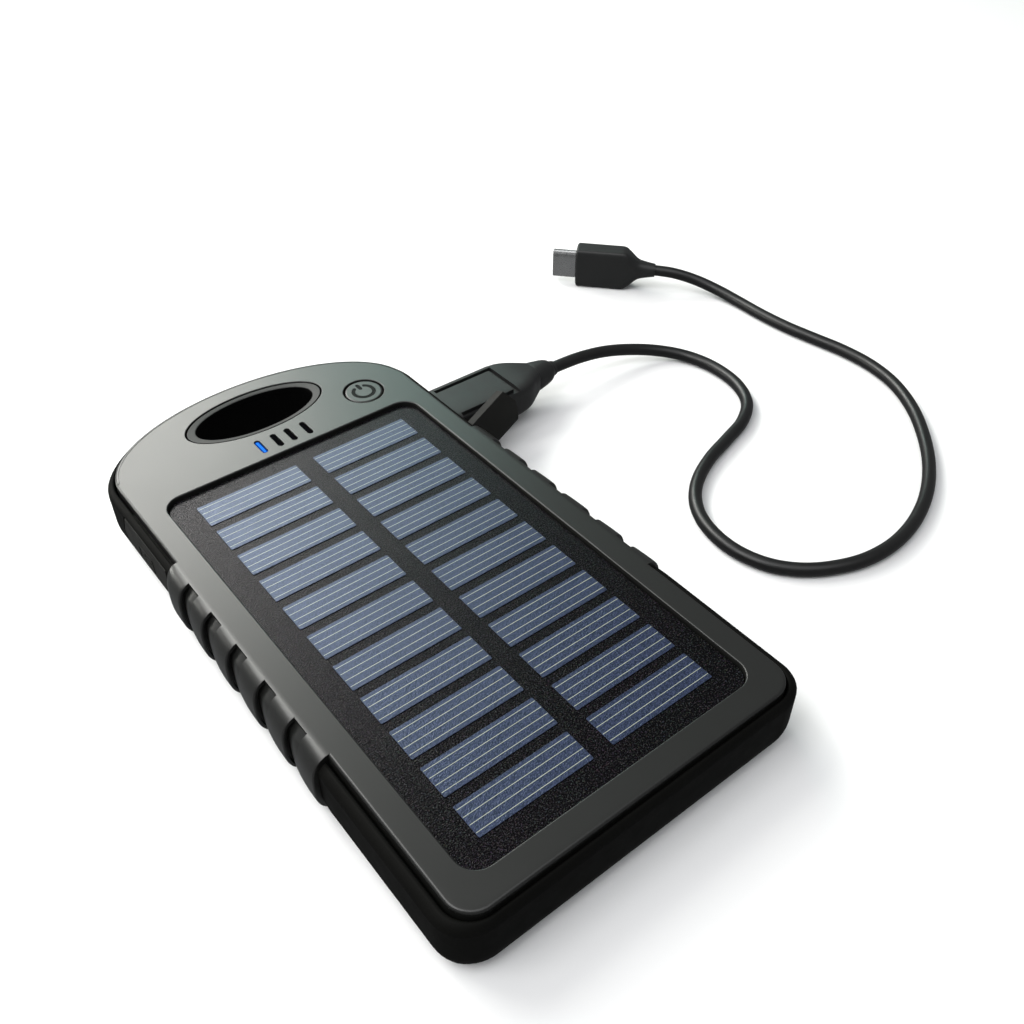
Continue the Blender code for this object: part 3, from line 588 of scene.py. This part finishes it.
def plain_profile(seam=False):
    """A section away from the wings: a rounded rim and a short skirt, with as many points as a wing's."""
    model = wing_profile(0.0, False)
    points = [(-FACE_INSET, FACE_TOP)]
    if seam:
        low = FACE_TOP - SEAM_DEPTH
        points += [(-SEAM_OUT - 0.03, FACE_TOP), (-SEAM_OUT, low), (-SEAM_OUT + SEAM_WIDTH, low),
                   (-SEAM_OUT + SEAM_WIDTH + 0.03, FACE_TOP - 0.03)]
    points += arc(-RIM_ROUND, FACE_TOP - RIM_ROUND - (0.05 if seam else 0.0), RIM_ROUND, RIM_ROUND, 90, 0, 6)
    points += [(0.0, max(SHELL_LOW, min(z, FACE_TOP - RIM_ROUND - 0.05))) for _, z in model[len(points):]]
    return points


def scale_inset(share, length, first):
    """How far a scale's side stands in, from its tucked-in start to its rounded end."""
    depth = SCALE_DEPTH * (0.42 if first else 1.0)
    inset = depth * (1 - share) ** (5.0 if first else 2.6)
    into_lip = 1 - (1 - share) * length / SCALE_LIP_LENGTH
    if into_lip > 0:
        inset += SCALE_LIP * (1 - math.sqrt(max(0.0, 1 - into_lip ** 2)))
    return inset


def wing_stations():
    """(y, profile) down one side, with the plain section above and below the scales."""
    stations = [(WING_TOP_Y, plain_profile())]
    start = WING_TOP_Y
    for number, end in enumerate(SCALE_ENDS):
        length = start - end
        shares = [0.0, 0.02, 0.05, 0.09, 0.14, 0.2, 0.28, 0.36]
        notch_end = NOTCH_LENGTH / length
        shares += [notch_end, notch_end] if number else [notch_end]
        shares += [share for share in (0.55, 0.68, 0.8, 0.88) if share > notch_end]
        shares += [1 - SCALE_LIP_LENGTH / length * s for s in (0.8, 0.6, 0.42, 0.28, 0.16, 0.07, 0.02, 0.0)]
        past_notch = number == 0
        for i, share in enumerate(shares):
            if share == notch_end and i and shares[i - 1] == notch_end:
                past_notch = True
            stations.append((start - length * share, wing_profile(scale_inset(share, length, number == 0),
                                                                  not past_notch)))
        start = end
    stations.append((start, plain_profile()))
    return stations


def shell_blank():
    """The shell before its holes: stations round the outline, each with a section from the face down."""
    down = wing_stations()
    up = down[::-1]
    ring = body_outline(0.0, right=[y for y, _ in up], left=[y for y, _ in down])
    first_right = 13
    arch = first_right + len(up)
    first_left = arch + ARCH_STEPS + 1
    profiles = [plain_profile()] * len(ring)
    profiles[arch + 4:first_left - 4] = [plain_profile(seam=True)] * (ARCH_STEPS - 7)
    profiles[first_right:first_right + len(up)] = [p for _, p in up]
    profiles[first_left:first_left + len(down)] = [p for _, p in down]
    levels = {out for profile in profiles for out, _ in profile}
    outlines = {out: body_outline(out, right=[y for y, _ in up], left=[y for y, _ in down]) for out in levels}
    bm = bmesh.new()
    rows = []
    for number, profile in enumerate(profiles):
        rows.append([bm.verts.new(Vector((*outlines[out][number], z)) * MM) for out, z in profile])
    skin_rows(bm, rows, around=False, along=True)
    bm.faces.new([row[0] for row in rows])
    bm.faces.new([row[-1] for row in rows])
    bmesh.ops.remove_doubles(bm, verts=bm.verts, dist=1e-7)
    bmesh.ops.dissolve_degenerate(bm, edges=bm.edges, dist=1e-7)
    return mesh_from(bm, "shell_front")


def undercuts():
    """The slots that run in under each scale's end, round the side of the wing."""
    slots = []
    for side in (1, -1):
        for end in SCALE_ENDS[:-1]:
            rings = []
            for y, shrink in ((end - 0.04, 0.0), (end + CUT_DEPTH, 0.3)):
                outer, inner = [], []
                for i in range(25):
                    share = i / 24
                    angle = NOTCH_ANGLE - 6 + (WING_FOOT_ANGLE + 12 - NOTCH_ANGLE) * share
                    swell = math.sin(math.pi * (0.12 + 0.88 * share)) ** 0.6
                    deep = SCALE_DEPTH + 0.03
                    thin = (deep - CUT_SKIN) * swell * (1 - shrink)
                    for row, inset in ((outer, deep - thin), (inner, deep + 0.02)):
                        out, z = wing_point(angle, inset)
                        row.append((side * (FACE_HALF + out), y, z))
                rings.append(outer + inner[::-1])
            slots.append(loft("undercut", rings))
    return joined("undercuts", slots)


def flap_outline(gap):
    """The long hexagon of a port flap, in Y and Z, made smaller by a gap. With none, it has room to swing."""
    low, high = FLAP_LOW_Y + gap - (0 if gap else FLAP_SWING_ROOM), FLAP_HIGH_Y - gap
    bottom, top = FLAP_LOW_Z + gap, FLAP_HIGH_Z - gap
    middle = (bottom + top) / 2
    return ((low, bottom), (high - FLAP_POINT, bottom), (high, middle), (high - FLAP_POINT, top), (low, top))


def make_shell():
    mesh = cut(shell_blank(), undercuts())
    through = [
        flared("window", window_outline, POCKET_FLOOR, FACE_TOP, WINDOW_ROUND),
        flared("handle", lambda out: oval(TRIM_RX + GAP + out, TRIM_RY + GAP + out, y=HOLE_Y),
               SHELL_LOW - 1, FACE_TOP, 0.22),
        flared("button", lambda out: oval(BUTTON_HOLE_R + out, BUTTON_HOLE_R + out, BUTTON_X, BUTTON_Y, 64),
               SHELL_LOW - 1, FACE_TOP, 0.2),
    ]
    for x in LED_XS:
        through.append(flared("light", lambda out, x=x: slot_outline(x, LED_Y, SLOT_LENGTH + 2 * out,
                                                                     SLOT_WIDTH + 2 * out),
                              SHELL_LOW - 1, FACE_TOP, 0.12, 3))
    mesh = cut(mesh, joined("holes", through))
    room = ((-31.5, 42.0), (31.5, 42.0), (31.5, 54.0), (27.0, 55.6), (18.2, 55.6), (14.0, 47.4),
            (-14.0, 47.4), (-18.2, 55.6), (-27.0, 55.6), (-31.5, 54.0))
    lead_slot = ((-6, 33), (6, 33), (6, 37), (-6, 37))
    below = [pillar("upper_room", room, SHELL_LOW - 1, ROOF), pillar("lead_slot", lead_slot, SHELL_LOW - 1, 13)]
    mesh = cut(mesh, joined("rooms", below))
    for side in (1, -1):
        xs = sorted((side * (FLAP_BACK - GAP), side * 45.0))
        mesh = cut(mesh, sideways("flap_room", flap_outline(0), *xs))
    obj = piece("shell_front", mesh, "shell", stands_for=["front_frame"])
    finish_edges(obj, angle=30)


# ---- Bumper and flaps -----------------------------------------------------------------------------------


def bumper_outside():
    """The rubber's section from its underside, round the outside, to its lip beside the face."""
    centre = BUMPER_OUT - BUMPER_ROUND
    points = arc(BUMPER_OUT - KEEL_WIDTH, BUMPER_LOW + KEEL_RISE, KEEL_WIDTH, KEEL_RISE, -90, 0, 10)
    high = BUMPER_HIGH - BUMPER_ROUND
    points += arc(centre, high, BUMPER_ROUND, BUMPER_ROUND, 0, LIP_ANGLE, 6)
    turn = math.radians(LIP_ANGLE)
    lip_x = points[-1][0] - LIP_ROUND * math.cos(turn)
    lip_z = points[-1][1] - LIP_ROUND * math.sin(turn)
    points += arc(lip_x, lip_z, LIP_ROUND, LIP_ROUND, LIP_ANGLE, 180, 7)[1:]
    return points


def swollen(outline, out):
    """The outline pushed out sideways: the rubber stands further out round the corners than at the bottom."""
    share = max(0.0, out) / BUMPER_OUT
    grown = []
    for x, y in outline:
        low_share = min(1.0, max(0.0, (SCALE_ENDS[-1] - y) / 8 + 1)) if y < 0 else 0.0
        swell = CORNER_SWELL * low_share if y < 0 else FLAP_SWELL * min(1.0, abs(x) / FACE_HALF) ** 4
        near_side = min(1.0, max(0.0, (abs(x) - FACE_HALF + 9) / 9))
        grown.append((x + math.copysign(swell * share * near_side ** 2, x), y))
    return grown


def make_bumper():
    section = bumper_outside()
    section += [(section[-1][0], BUMPER_SHELF), (BUMPER_IN, BUMPER_SHELF)]
    sides = [ARCH_START - (ARCH_START - FACE_BOTTOM - FACE_CORNER) * i / 12 for i in range(1, 12)]
    outlines = [swollen(body_outline(out, right=sides[::-1], left=sides), out) for out, _ in section]
    stations = [[(*outline[i], z) for outline, (_, z) in zip(outlines, section)]
                for i in range(len(outlines[0]))]
    mesh = hoop("bumper", stations)
    tools = []
    for side in (1, -1):
        xs = sorted((side * WING_RECESS, side * 45.0))
        recess = block((xs[0], SCALE_ENDS[-1] - GAP, -1), (xs[1], WING_TOP_Y + GAP, 16))
        tools.append(loft("wing_recess", recess))
        xs = sorted((side * 30.0, side * 45.0))
        tools.append(sideways("flap_pocket", flap_outline(0), *xs))
    mesh = cut(mesh, joined("recesses", tools))
    obj = piece("bumper", mesh, "rubber", stands_for=["bumper_ring"])
    finish_edges(obj, angle=32)


def flap_mesh(name, side):
    """A flap whose outside carries on the bumper's own section."""
    section = [(side * (FACE_HALF + out + FLAP_SWELL * max(0.0, out) / BUMPER_OUT), z)
               for out, z in bumper_outside()]
    section += [(side * FLAP_BACK, section[-1][1]), (side * FLAP_BACK, section[0][1])]
    section = section[1:]
    ends = (FLAP_LOW_Y - 1, FLAP_HIGH_Y + 1)
    blank = loft(name, [[(x, y, z) for x, z in section] for y in ends])
    xs = sorted((side * 30.0, side * 45.0))
    return cut(blank, sideways("hexagon", flap_outline(FLAP_GAP), *xs), "INTERSECT")


def pictogram(side, x):
    """A plain battery outline with an arrow into it, standing proud of the flap."""
    y, z = 35.2, 6.8
    xs = sorted((side * (x - 0.2), side * (x + 0.13)))
    bars = [
        ((-3.6, 1.3), (3.2, 1.65)), ((-3.6, -1.65), (3.2, -1.3)), ((-3.6, -1.65), (-3.25, 1.65)),
        ((2.85, -1.65), (3.2, 1.65)), ((3.2, -0.7), (3.65, 0.7)), ((-2.3, -0.18), (0.4, 0.18)),
    ]
    parts = [loft("bar", block((xs[0], y + a[0], z + a[1]), (xs[1], y + b[0], z + b[1]))) for a, b in bars]
    parts.append(sideways("head", ((y + 0.35, z - 0.85), (y + 1.8, z), (y + 0.35, z + 0.85)), *xs))
    return parts


def make_flaps():
    left = piece("flap_left", flap_mesh("flap_left", -1), "flap", "left_flap", ["port_flap_left"])
    finish_edges(left, bevel=0.22, segments=3, limit=30)
    relief = joined("flap_relief", pictogram(-1, FACE_HALF + BUMPER_OUT + FLAP_SWELL))
    finish_edges(piece("flap_relief", relief, "flap", "left_flap"), bevel=0.05)
    mesh = flap_mesh("flap_right", 1)
    hinge = Vector((FLAP_HINGE_X, FLAP_LOW_Y + FLAP_GAP, PORT_Z)) * MM
    shrink = Matrix.Diagonal((1, FLAP_SHORT, FLAP_LOWER, 1))
    mesh.transform(Matrix.Translation(hinge) @ shrink @ Matrix.Translation(-hinge))
    pivot = Vector((0, math.sin(FLAP_LEAN), math.cos(FLAP_LEAN)))
    swing = Matrix.Translation(hinge) @ Matrix.Rotation(-FLAP_OPEN, 4, pivot) @ Matrix.Translation(-hinge)
    mesh.transform(swing)
    right = piece("flap_right", mesh, "flap", "right_flap", ["port_flap_right"])
    finish_edges(right, bevel=0.6, segments=4, limit=30)


# ---- Handle ---------------------------------------------------------------------------------------------


def ring_of(name, section):
    """A ring in the handle's hole from (share, height) points: share 0 is the hole and 1 the trim's outside."""
    steps = 128
    rings = [oval(HOLE_RX + (TRIM_RX - HOLE_RX) * share, HOLE_RY + (TRIM_RY - HOLE_RY) * share, y=HOLE_Y,
                  steps=steps) for share, _ in section]
    return hoop(name, [[(*ring[i], z) for ring, (_, z) in zip(rings, section)] for i in range(steps)])


def make_trim():
    """The ring in the handle's hole: a rounded outer edge, a flat and a dark throat."""
    low, high = node_box("handle_trim_ring")
    section = [(0.0, low.z), (1.0, low.z), (1.0, high.z - 0.16), (0.985, high.z - 0.07), (0.955, high.z - 0.015),
               (0.92, high.z), (0.12, high.z - 0.14), (0.06, high.z - 0.17), (0.02, high.z - 0.24),
               (0.0, high.z - 0.36)]
    finish_edges(piece("handle_trim", ring_of("handle_trim", section), "trim",
                       stands_for=["handle_trim_ring"]))
    throat = [(0.01, low.z), (0.01, high.z - 0.3), (-0.01, high.z - 0.32), (-0.02, high.z - 0.4),
              (-0.02, low.z)]
    finish_edges(piece("handle_throat", ring_of("handle_throat", throat), "sleeve"))


# ---- Panel ----------------------------------------------------------------------------------------------


def make_panel():
    def edge(out, z):
        return raised(rounded_box(BOARD_LOW.x - out, BOARD_LOW.y - out, BOARD_HIGH.x + out, BOARD_HIGH.y + out,
                                  WINDOW_CORNER - WINDOW_GAP + out), z)

    top, low = BOARD_HIGH.z, BOARD_LOW.z
    rings = [edge(-0.1, low), edge(0.0, low + 0.1), edge(0.0, top - 0.15), edge(-0.05, top - 0.04),
             edge(-0.15, top)]
    finish_edges(piece("solar_panel", loft("solar_panel", rings), "panel",
                       stands_for=["panel_board"]), angle=50)


def make_cells():
    """Each cell is a thin wafer with clipped corners and four contact lines along it."""
    for name in sorted(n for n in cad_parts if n.startswith("solar_cell_")):
        low, high = node_box(name)
        rings = [raised(rounded_box(low.x + i, low.y + i, high.x - i, high.y - i, 0.25 - i, 3), z)
                 for i, z in ((0.0, low.z), (0.0, high.z - 0.03), (0.03, high.z))]
        finish_edges(piece(name.replace("solar_cell", "cell"), loft(name, rings), "cell",
                           stands_for=[name]), angle=60)
    lines = []
    for name in sorted(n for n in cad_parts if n.startswith("solar_cell_")):
        low, high = node_box(name)
        for share in (0.14, 0.385, 0.63, 0.875):
            y = low.y + (high.y - low.y) * share
            lines.append(loft("line", block((low.x + 0.12, y - 0.055, high.z - 0.02),
                                            (high.x - 0.12, y + 0.055, high.z + 0.02))))
    piece("cell_contact_lines", joined("cell_contact_lines", lines), "contact")


# ---- Button and lights ----------------------------------------------------------------------------------


def turned(name, x, y, section, steps=96):
    """A round solid from (radius, height) points, listed from the bottom of its outside to the top."""
    return loft(name, [raised(oval(r, r, x, y, steps), z) for r, z in section])


def symbol_strokes(grow):
    """Outlines of the standby mark: a ring open at the top and an upright bar through the gap."""
    r, half = SYMBOL_R, SYMBOL_STROKE / 2 + grow
    start, end = 90 + 33, 90 + 360 - 33
    outer = arc(0, 0, r + half, r + half, start, end, 48)
    inner = arc(0, 0, r - half, r - half, end, start, 48)

    def cap(angle, first):
        a = math.radians(angle)
        return arc(r * math.cos(a), r * math.sin(a), half, half, first, first + 180, 8)[1:-1]

    ring = outer + cap(end, end) + inner + cap(start, start + 180)
    bar = slot_outline(0, 2.1, 2.5 + 2 * grow, 2 * half)
    return [[(BUTTON_X + u, BUTTON_Y + v) for u, v in loop] for loop in (ring, bar)]


def make_button():
    top = BUTTON_HIGH.z
    flange = ROOF - 0.1
    section = [
        (1.6, BUTTON_LOW.z), (1.6, flange - 1.0), (BUTTON_FLANGE_R, flange - 1.0), (BUTTON_FLANGE_R, flange),
        (BUTTON_R, flange), (BUTTON_R, top - 0.4), (BUTTON_R - 0.04, top - 0.25), (BUTTON_R - 0.14, top - 0.1),
        (BUTTON_R - 0.3, top - 0.02), (BUTTON_R - 0.5, top),
    ]
    mesh = turned("power_cap", BUTTON_X, BUTTON_Y, section)
    grooves = [pillar("stroke", loop, top - 0.18, top + 1) for loop in symbol_strokes(0.0)]
    mesh = cut(mesh, joined("strokes", grooves))
    obj = piece("power_cap", mesh, "shell", "button", ["power_button"])
    finish_edges(obj)
    ink = [pillar("ink", loop, top - 0.22, top - 0.09) for loop in symbol_strokes(-0.02)]
    inlay = joined("power_mark", ink)
    finish_edges(piece("power_mark", inlay, "ink", "button"))


def make_lights():
    """Four prongs of one light guide. The first one is lit."""
    low, high = node_box("light_guide")
    names = ("lit", "2", "3", "4")
    for name, x in zip(names, LED_XS):
        lit = name == "lit"

        def ring(inset, z, x=x):
            length, width = SLOT_LENGTH - 0.1 - 2 * inset, SLOT_WIDTH - 0.1 - 2 * inset
            return raised(slot_outline(x, LED_Y, length, width, 12), z)

        top = high.z - 0.03
        rings = [ring(0.0, low.z), ring(0.0, top - 0.16), ring(0.03, top - 0.07), ring(0.1, top - 0.01),
                 ring(0.2, top)]
        finish_edges(piece(f"light_prong_{name}", loft("prong", rings), "glow_rim" if lit else "smoke",
                           stands_for=["light_guide"]))
        if lit:
            core = [ring(0.32, top - 0.02), ring(0.34, top + 0.008)]
            finish_edges(piece("light_core", loft("core", core), "glow_core"))
    bar = [raised(rounded_box(low.x + i, low.y + i, high.x - i, high.y - i, 0.5, 5), z)
           for i, z in ((0.15, 9.9), (0.0, 10.05), (0.0, 11.25), (0.15, 11.4))]
    finish_edges(piece("light_guide_bar", loft("bar", bar), "smoke",
                       stands_for=["light_guide"]))


# ---- Charging cable -------------------------------------------------------------------------------------


def squircle(width, height, power, steps=56):
    """A closed outline between an ellipse, at power 2, and a rectangle, at a high power."""
    points = []
    for step in range(steps):
        angle = 2 * math.pi * (step + 0.5) / steps
        points.append((width / 2 * signed_power(math.cos(angle), 2 / power),
                       height / 2 * signed_power(math.sin(angle), 2 / power)))
    return points


def blend_sections(sections, steps):
    """Sections in between the given ones, on a smooth curve through them."""
    ends = [sections[0]] + list(sections) + [sections[-1]]
    smooth = []
    for a, b, c, d in zip(ends, ends[1:], ends[2:], ends[3:]):
        for i in range(steps):
            t = i / steps
            smooth.append([0.5 * (2 * q + (r - p) * t + (2 * p - 5 * q + 4 * r - s) * t * t
                                  + (3 * q - p - 3 * r + s) * t ** 3) for p, q, r, s in zip(a, b, c, d)])
    smooth.append(list(sections[-1]))
    return smooth


def make_plug():
    """The grip: a flat-topped block with a U-shaped groove in its top, narrowing to a round neck."""
    w, h = PLUG_WIDTH, PLUG_HEIGHT
    x0, x1 = PLUG_LOW.x, PLUG_HIGH.x
    body = [(x0, w - 1.0, h - 1.0, 6.0), (x0 + 0.12, w - 0.5, h - 0.5, 7.0), (x0 + 0.4, w - 0.12, h - 0.12, 8.0),
            (x0 + 0.8, w, h, 8.0), (x0 + 10.0, w, h, 8.0), (x1 - 9.0, w, h, 8.0)]
    taper = blend_sections(((x1 - 9.0, w, h, 8.0), (x1 - 6.5, w - 0.5, h, 6.5), (x1 - 4.3, w - 1.8, h - 0.1, 5.0),
                            (x1 - 2.1, w - 4.4, h - 0.4, 4.0), (x1, w - 6.8, h - 0.9, 3.0)), 5)
    rings = []
    for x, width, height, power in body + [tuple(s) for s in taper[1:]]:
        rings.append([(x, USB_Y + u, PORT_Z + v) for u, v in squircle(width, height, power)])
    mesh = loft("plug_grip", rings)
    top, deep, broad = PORT_Z + h / 2, 1.0, 1.15
    near, far, start, end = USB_Y - 6.7, USB_Y + 5.4, x0 + 3.4, x0 + 19.9
    groove = ((start, far - broad), (end - broad, far - broad), (end - broad, near + broad), (start, near + broad),
              (start, near), (end, near), (end, far), (start, far))
    mesh = cut(mesh, pillar("groove", groove, top - deep, top + 1))
    obj = piece("plug_grip", mesh, "grip", "cable", ["plug_overmold"])
    finish_edges(obj, angle=38)
    x0, x1 = RELIEF_LOW.x, RELIEF_HIGH.x
    collar = blend_sections(((x0 - 1.2, 7.2, 6.3, 3.0), (x0, 7.3, 6.6, 2.6), (x0 + 0.9, 7.25, 6.6, 2.4),
                             (x0 + 2.0, 6.9, 6.5, 2.2), (x0 + 3.4, 6.4, 6.3, 2.0),
                             (x0 + 4.6, 5.6, 5.6, 2.0), (x0 + 5.3, 4.7, 4.7, 2.0),
                             (x1, 4.1, 4.1, 2.0), (x1 + 1.0, 3.6, 3.6, 2.0)), 4)
    rings = [[(x, USB_Y + u, PORT_Z + v) for u, v in squircle(width, height, power)]
             for x, width, height, power in collar]
    relief = piece("plug_collar", loft("plug_collar", rings), "grip", "cable",
                   ["plug_strain_relief"])
    finish_edges(relief, angle=60)
    return obj, relief


def make_connector():
    """The small connector stands on its narrow edge, in line with the cord's end."""
    end, before = Vector(CORD_ROUTE[-1]), Vector(CORD_ROUTE[-2])
    along = end - before
    along.z = 0
    along.normalize()
    across = Vector((-along.y, along.x, 0))
    start = Vector((end.x, end.y, CONNECTOR_TALL / 2 + 0.1))
    tall, thick = CONNECTOR_TALL, CONNECTOR_THICK
    neck = blend_sections(((-1.0, 3.7, 3.7, 2.0), (1.5, 4.5, 4.5, 2.1), (3.8, 5.6, 5.1, 2.6), (5.6, 8.4, 5.8, 3.6),
                           (7.2, 10.8, thick - 0.05, 5.5), (8.4, tall, thick, 7.0)), 4)
    grip = [(14.0, tall, thick, 7.0), (21.0, tall, thick, 7.0), (21.35, tall - 0.2, thick - 0.2, 7.0),
            (21.6, tall - 0.8, thick - 0.8, 6.0)]
    rings = []
    for distance, height, width, power in neck + grip:
        centre = start + along * distance
        rings.append([tuple(centre + across * u + Vector((0, 0, v)))
                      for u, v in squircle(width, height, power)])
    obj = piece("connector_grip", loft("connector_grip", rings), "grip", "cable",
                ["connector_overmold"])
    finish_edges(obj, angle=38)
    return obj


def make_cord():
    """The cord is one smooth curve through its route."""
    curve = bpy.data.curves.new("charging_cord", "CURVE")
    curve.dimensions = "3D"
    curve.bevel_depth = CORD_D / 2 * MM
    curve.bevel_resolution = 6
    curve.resolution_u = 10
    curve.use_fill_caps = True
    spline = curve.splines.new("BEZIER")
    spline.bezier_points.add(len(CORD_ROUTE) - 1)
    route = [Vector(p) * MM for p in CORD_ROUTE]
    for i, (point, place) in enumerate(zip(spline.bezier_points, route)):
        before, after = route[max(i - 1, 0)], route[min(i + 1, len(route) - 1)]
        point.co = place
        point.handle_left_type = point.handle_right_type = "FREE"
        point.handle_left = place - (after - before) / 6
        point.handle_right = place + (after - before) / 6
    cord = piece("charging_cord", curve, "cord", "cable", ["cord"])


# ---- Carried-over CAD nodes -----------------------------------------------------------------------------


def dress(material, *names):
    """Gives CAD nodes that keep their shape a finished material."""
    for name in names:
        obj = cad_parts[name]
        if not obj.material_slots:
            obj.data.materials.append(None)
        for slot in obj.material_slots:
            slot.material = MATERIALS[material]


def dress_nodes():
    dress("back", "rear_cover")
    dress("sleeve", "handle_sleeve")
    dress("tape", "panel_tape")
    dress("black_plastic", "switch_body", "charge_controller_chip")
    dress("ferrite", "inductor")
    dress("white_plastic", "switch_plunger", "usb_socket_tongue", "usb_plug_insulator")
    dress("phosphor", *[f"indicator_led_{i}" for i in range(1, 5)])
    dress("circuit", "circuit_board")
    dress("foil", "battery_pouch", "capacitor")
    dress("wire", "battery_leads", "panel_leads")
    dress("steel", "usb_socket_shell", "micro_usb_socket", "usb_plug_shell", "connector_tip",
          *[f"screw_{i}" for i in range(1, 5)])


# ---- Studio ---------------------------------------------------------------------------------------------


def make_camera():
    data = bpy.data.cameras.new("camera")
    data.lens = 36.67
    data.sensor_width = 36.0
    data.clip_start, data.clip_end = 0.01, 10.0
    camera = bpy.data.objects.new("camera", data)
    right = Vector((0.78478, -0.61977, -0.00194))
    up = Vector((0.40821, 0.51454, 0.75406))
    back = right.cross(up)
    turn = Matrix((right, up, back)).transposed()
    camera.matrix_world = Matrix.Translation((-0.07286, -0.12833, 0.15006)) @ turn.to_4x4()
    bpy.context.scene.collection.objects.link(camera)
    bpy.context.scene.camera = camera


def make_floor():
    bm = bmesh.new()
    bmesh.ops.create_grid(bm, x_segments=8, y_segments=8, size=2.5)
    mesh = mesh_from(bm, "floor")
    kit = Kit("floor")
    kit.set(
        Base_Color=kit.mix(kit.noise(120.0, 2.0), (0.86, 0.86, 0.865), (0.88, 0.88, 0.88)),
        Roughness=0.9,
        Specular_IOR_Level=0.1,
    )
    mesh.materials.append(kit.mat)
    floor = bpy.data.objects.new("floor", mesh)
    floor.location.z = -0.05 * MM
    bpy.context.scene.collection.objects.link(floor)
    floor.visible_glossy = False


def soft_light(name, azimuth, elevation, distance, size, power, colour=(1, 1, 1)):
    """A soft box. Azimuth 0 is towards +Y and turns towards +X; sizes and distance are in metres."""
    data = bpy.data.lights.new(name, "AREA")
    data.shape = "RECTANGLE"
    data.size, data.size_y = size
    data.energy = power
    data.color = colour
    obj = bpy.data.objects.new(name, data)
    a, e = math.radians(azimuth), math.radians(elevation)
    away = Vector((math.sin(a) * math.cos(e), math.cos(a) * math.cos(e), math.sin(e)))
    obj.location = away * distance
    obj.rotation_mode = "QUATERNION"
    obj.rotation_quaternion = away.to_track_quat("Z", "Y")
    bpy.context.scene.collection.objects.link(obj)


def make_studio():
    make_floor()
    soft_light("back_soft_box", 6, 34, 1.1, (0.54, 0.26), 6.6, (1.0, 1.0, 0.95))
    soft_light("side_soft_box", 30, 32, 1.1, (0.20, 0.26), 0.7, (0.60, 1.0, 0.90))
    soft_light("back_left_soft_box", -22, 47, 1.0, (0.44, 0.33), 4.8, (1.0, 1.0, 0.96))
    soft_light("key", -82, 55, 0.8, (0.5, 0.5), 3.8)
    soft_light("left_edge_light", -32, 12, 0.24, (0.06, 0.05), 0.13, (1.0, 1.0, 0.94))
    soft_light("fill", 190, 68, 1.2, (1.0, 1.0), 5.0, (0.97, 0.985, 1.0))
    world = bpy.data.worlds.new("studio")
    world.use_nodes = True
    world.node_tree.nodes["Background"].inputs["Color"].default_value = (0.96, 0.98, 1.0, 1.0)
    world.node_tree.nodes["Background"].inputs["Strength"].default_value = 0.22
    bpy.context.scene.world = world
    bpy.context.scene.view_settings.view_transform = "Standard"


def main():
    make_camera()
    grip, collar = make_plug()
    connector = make_connector()
    make_cord()
    make_shell()
    make_bumper()
    make_flaps()
    make_trim()
    make_panel()
    make_cells()
    make_button()
    make_lights()
    dress_nodes()
    make_studio()


main()
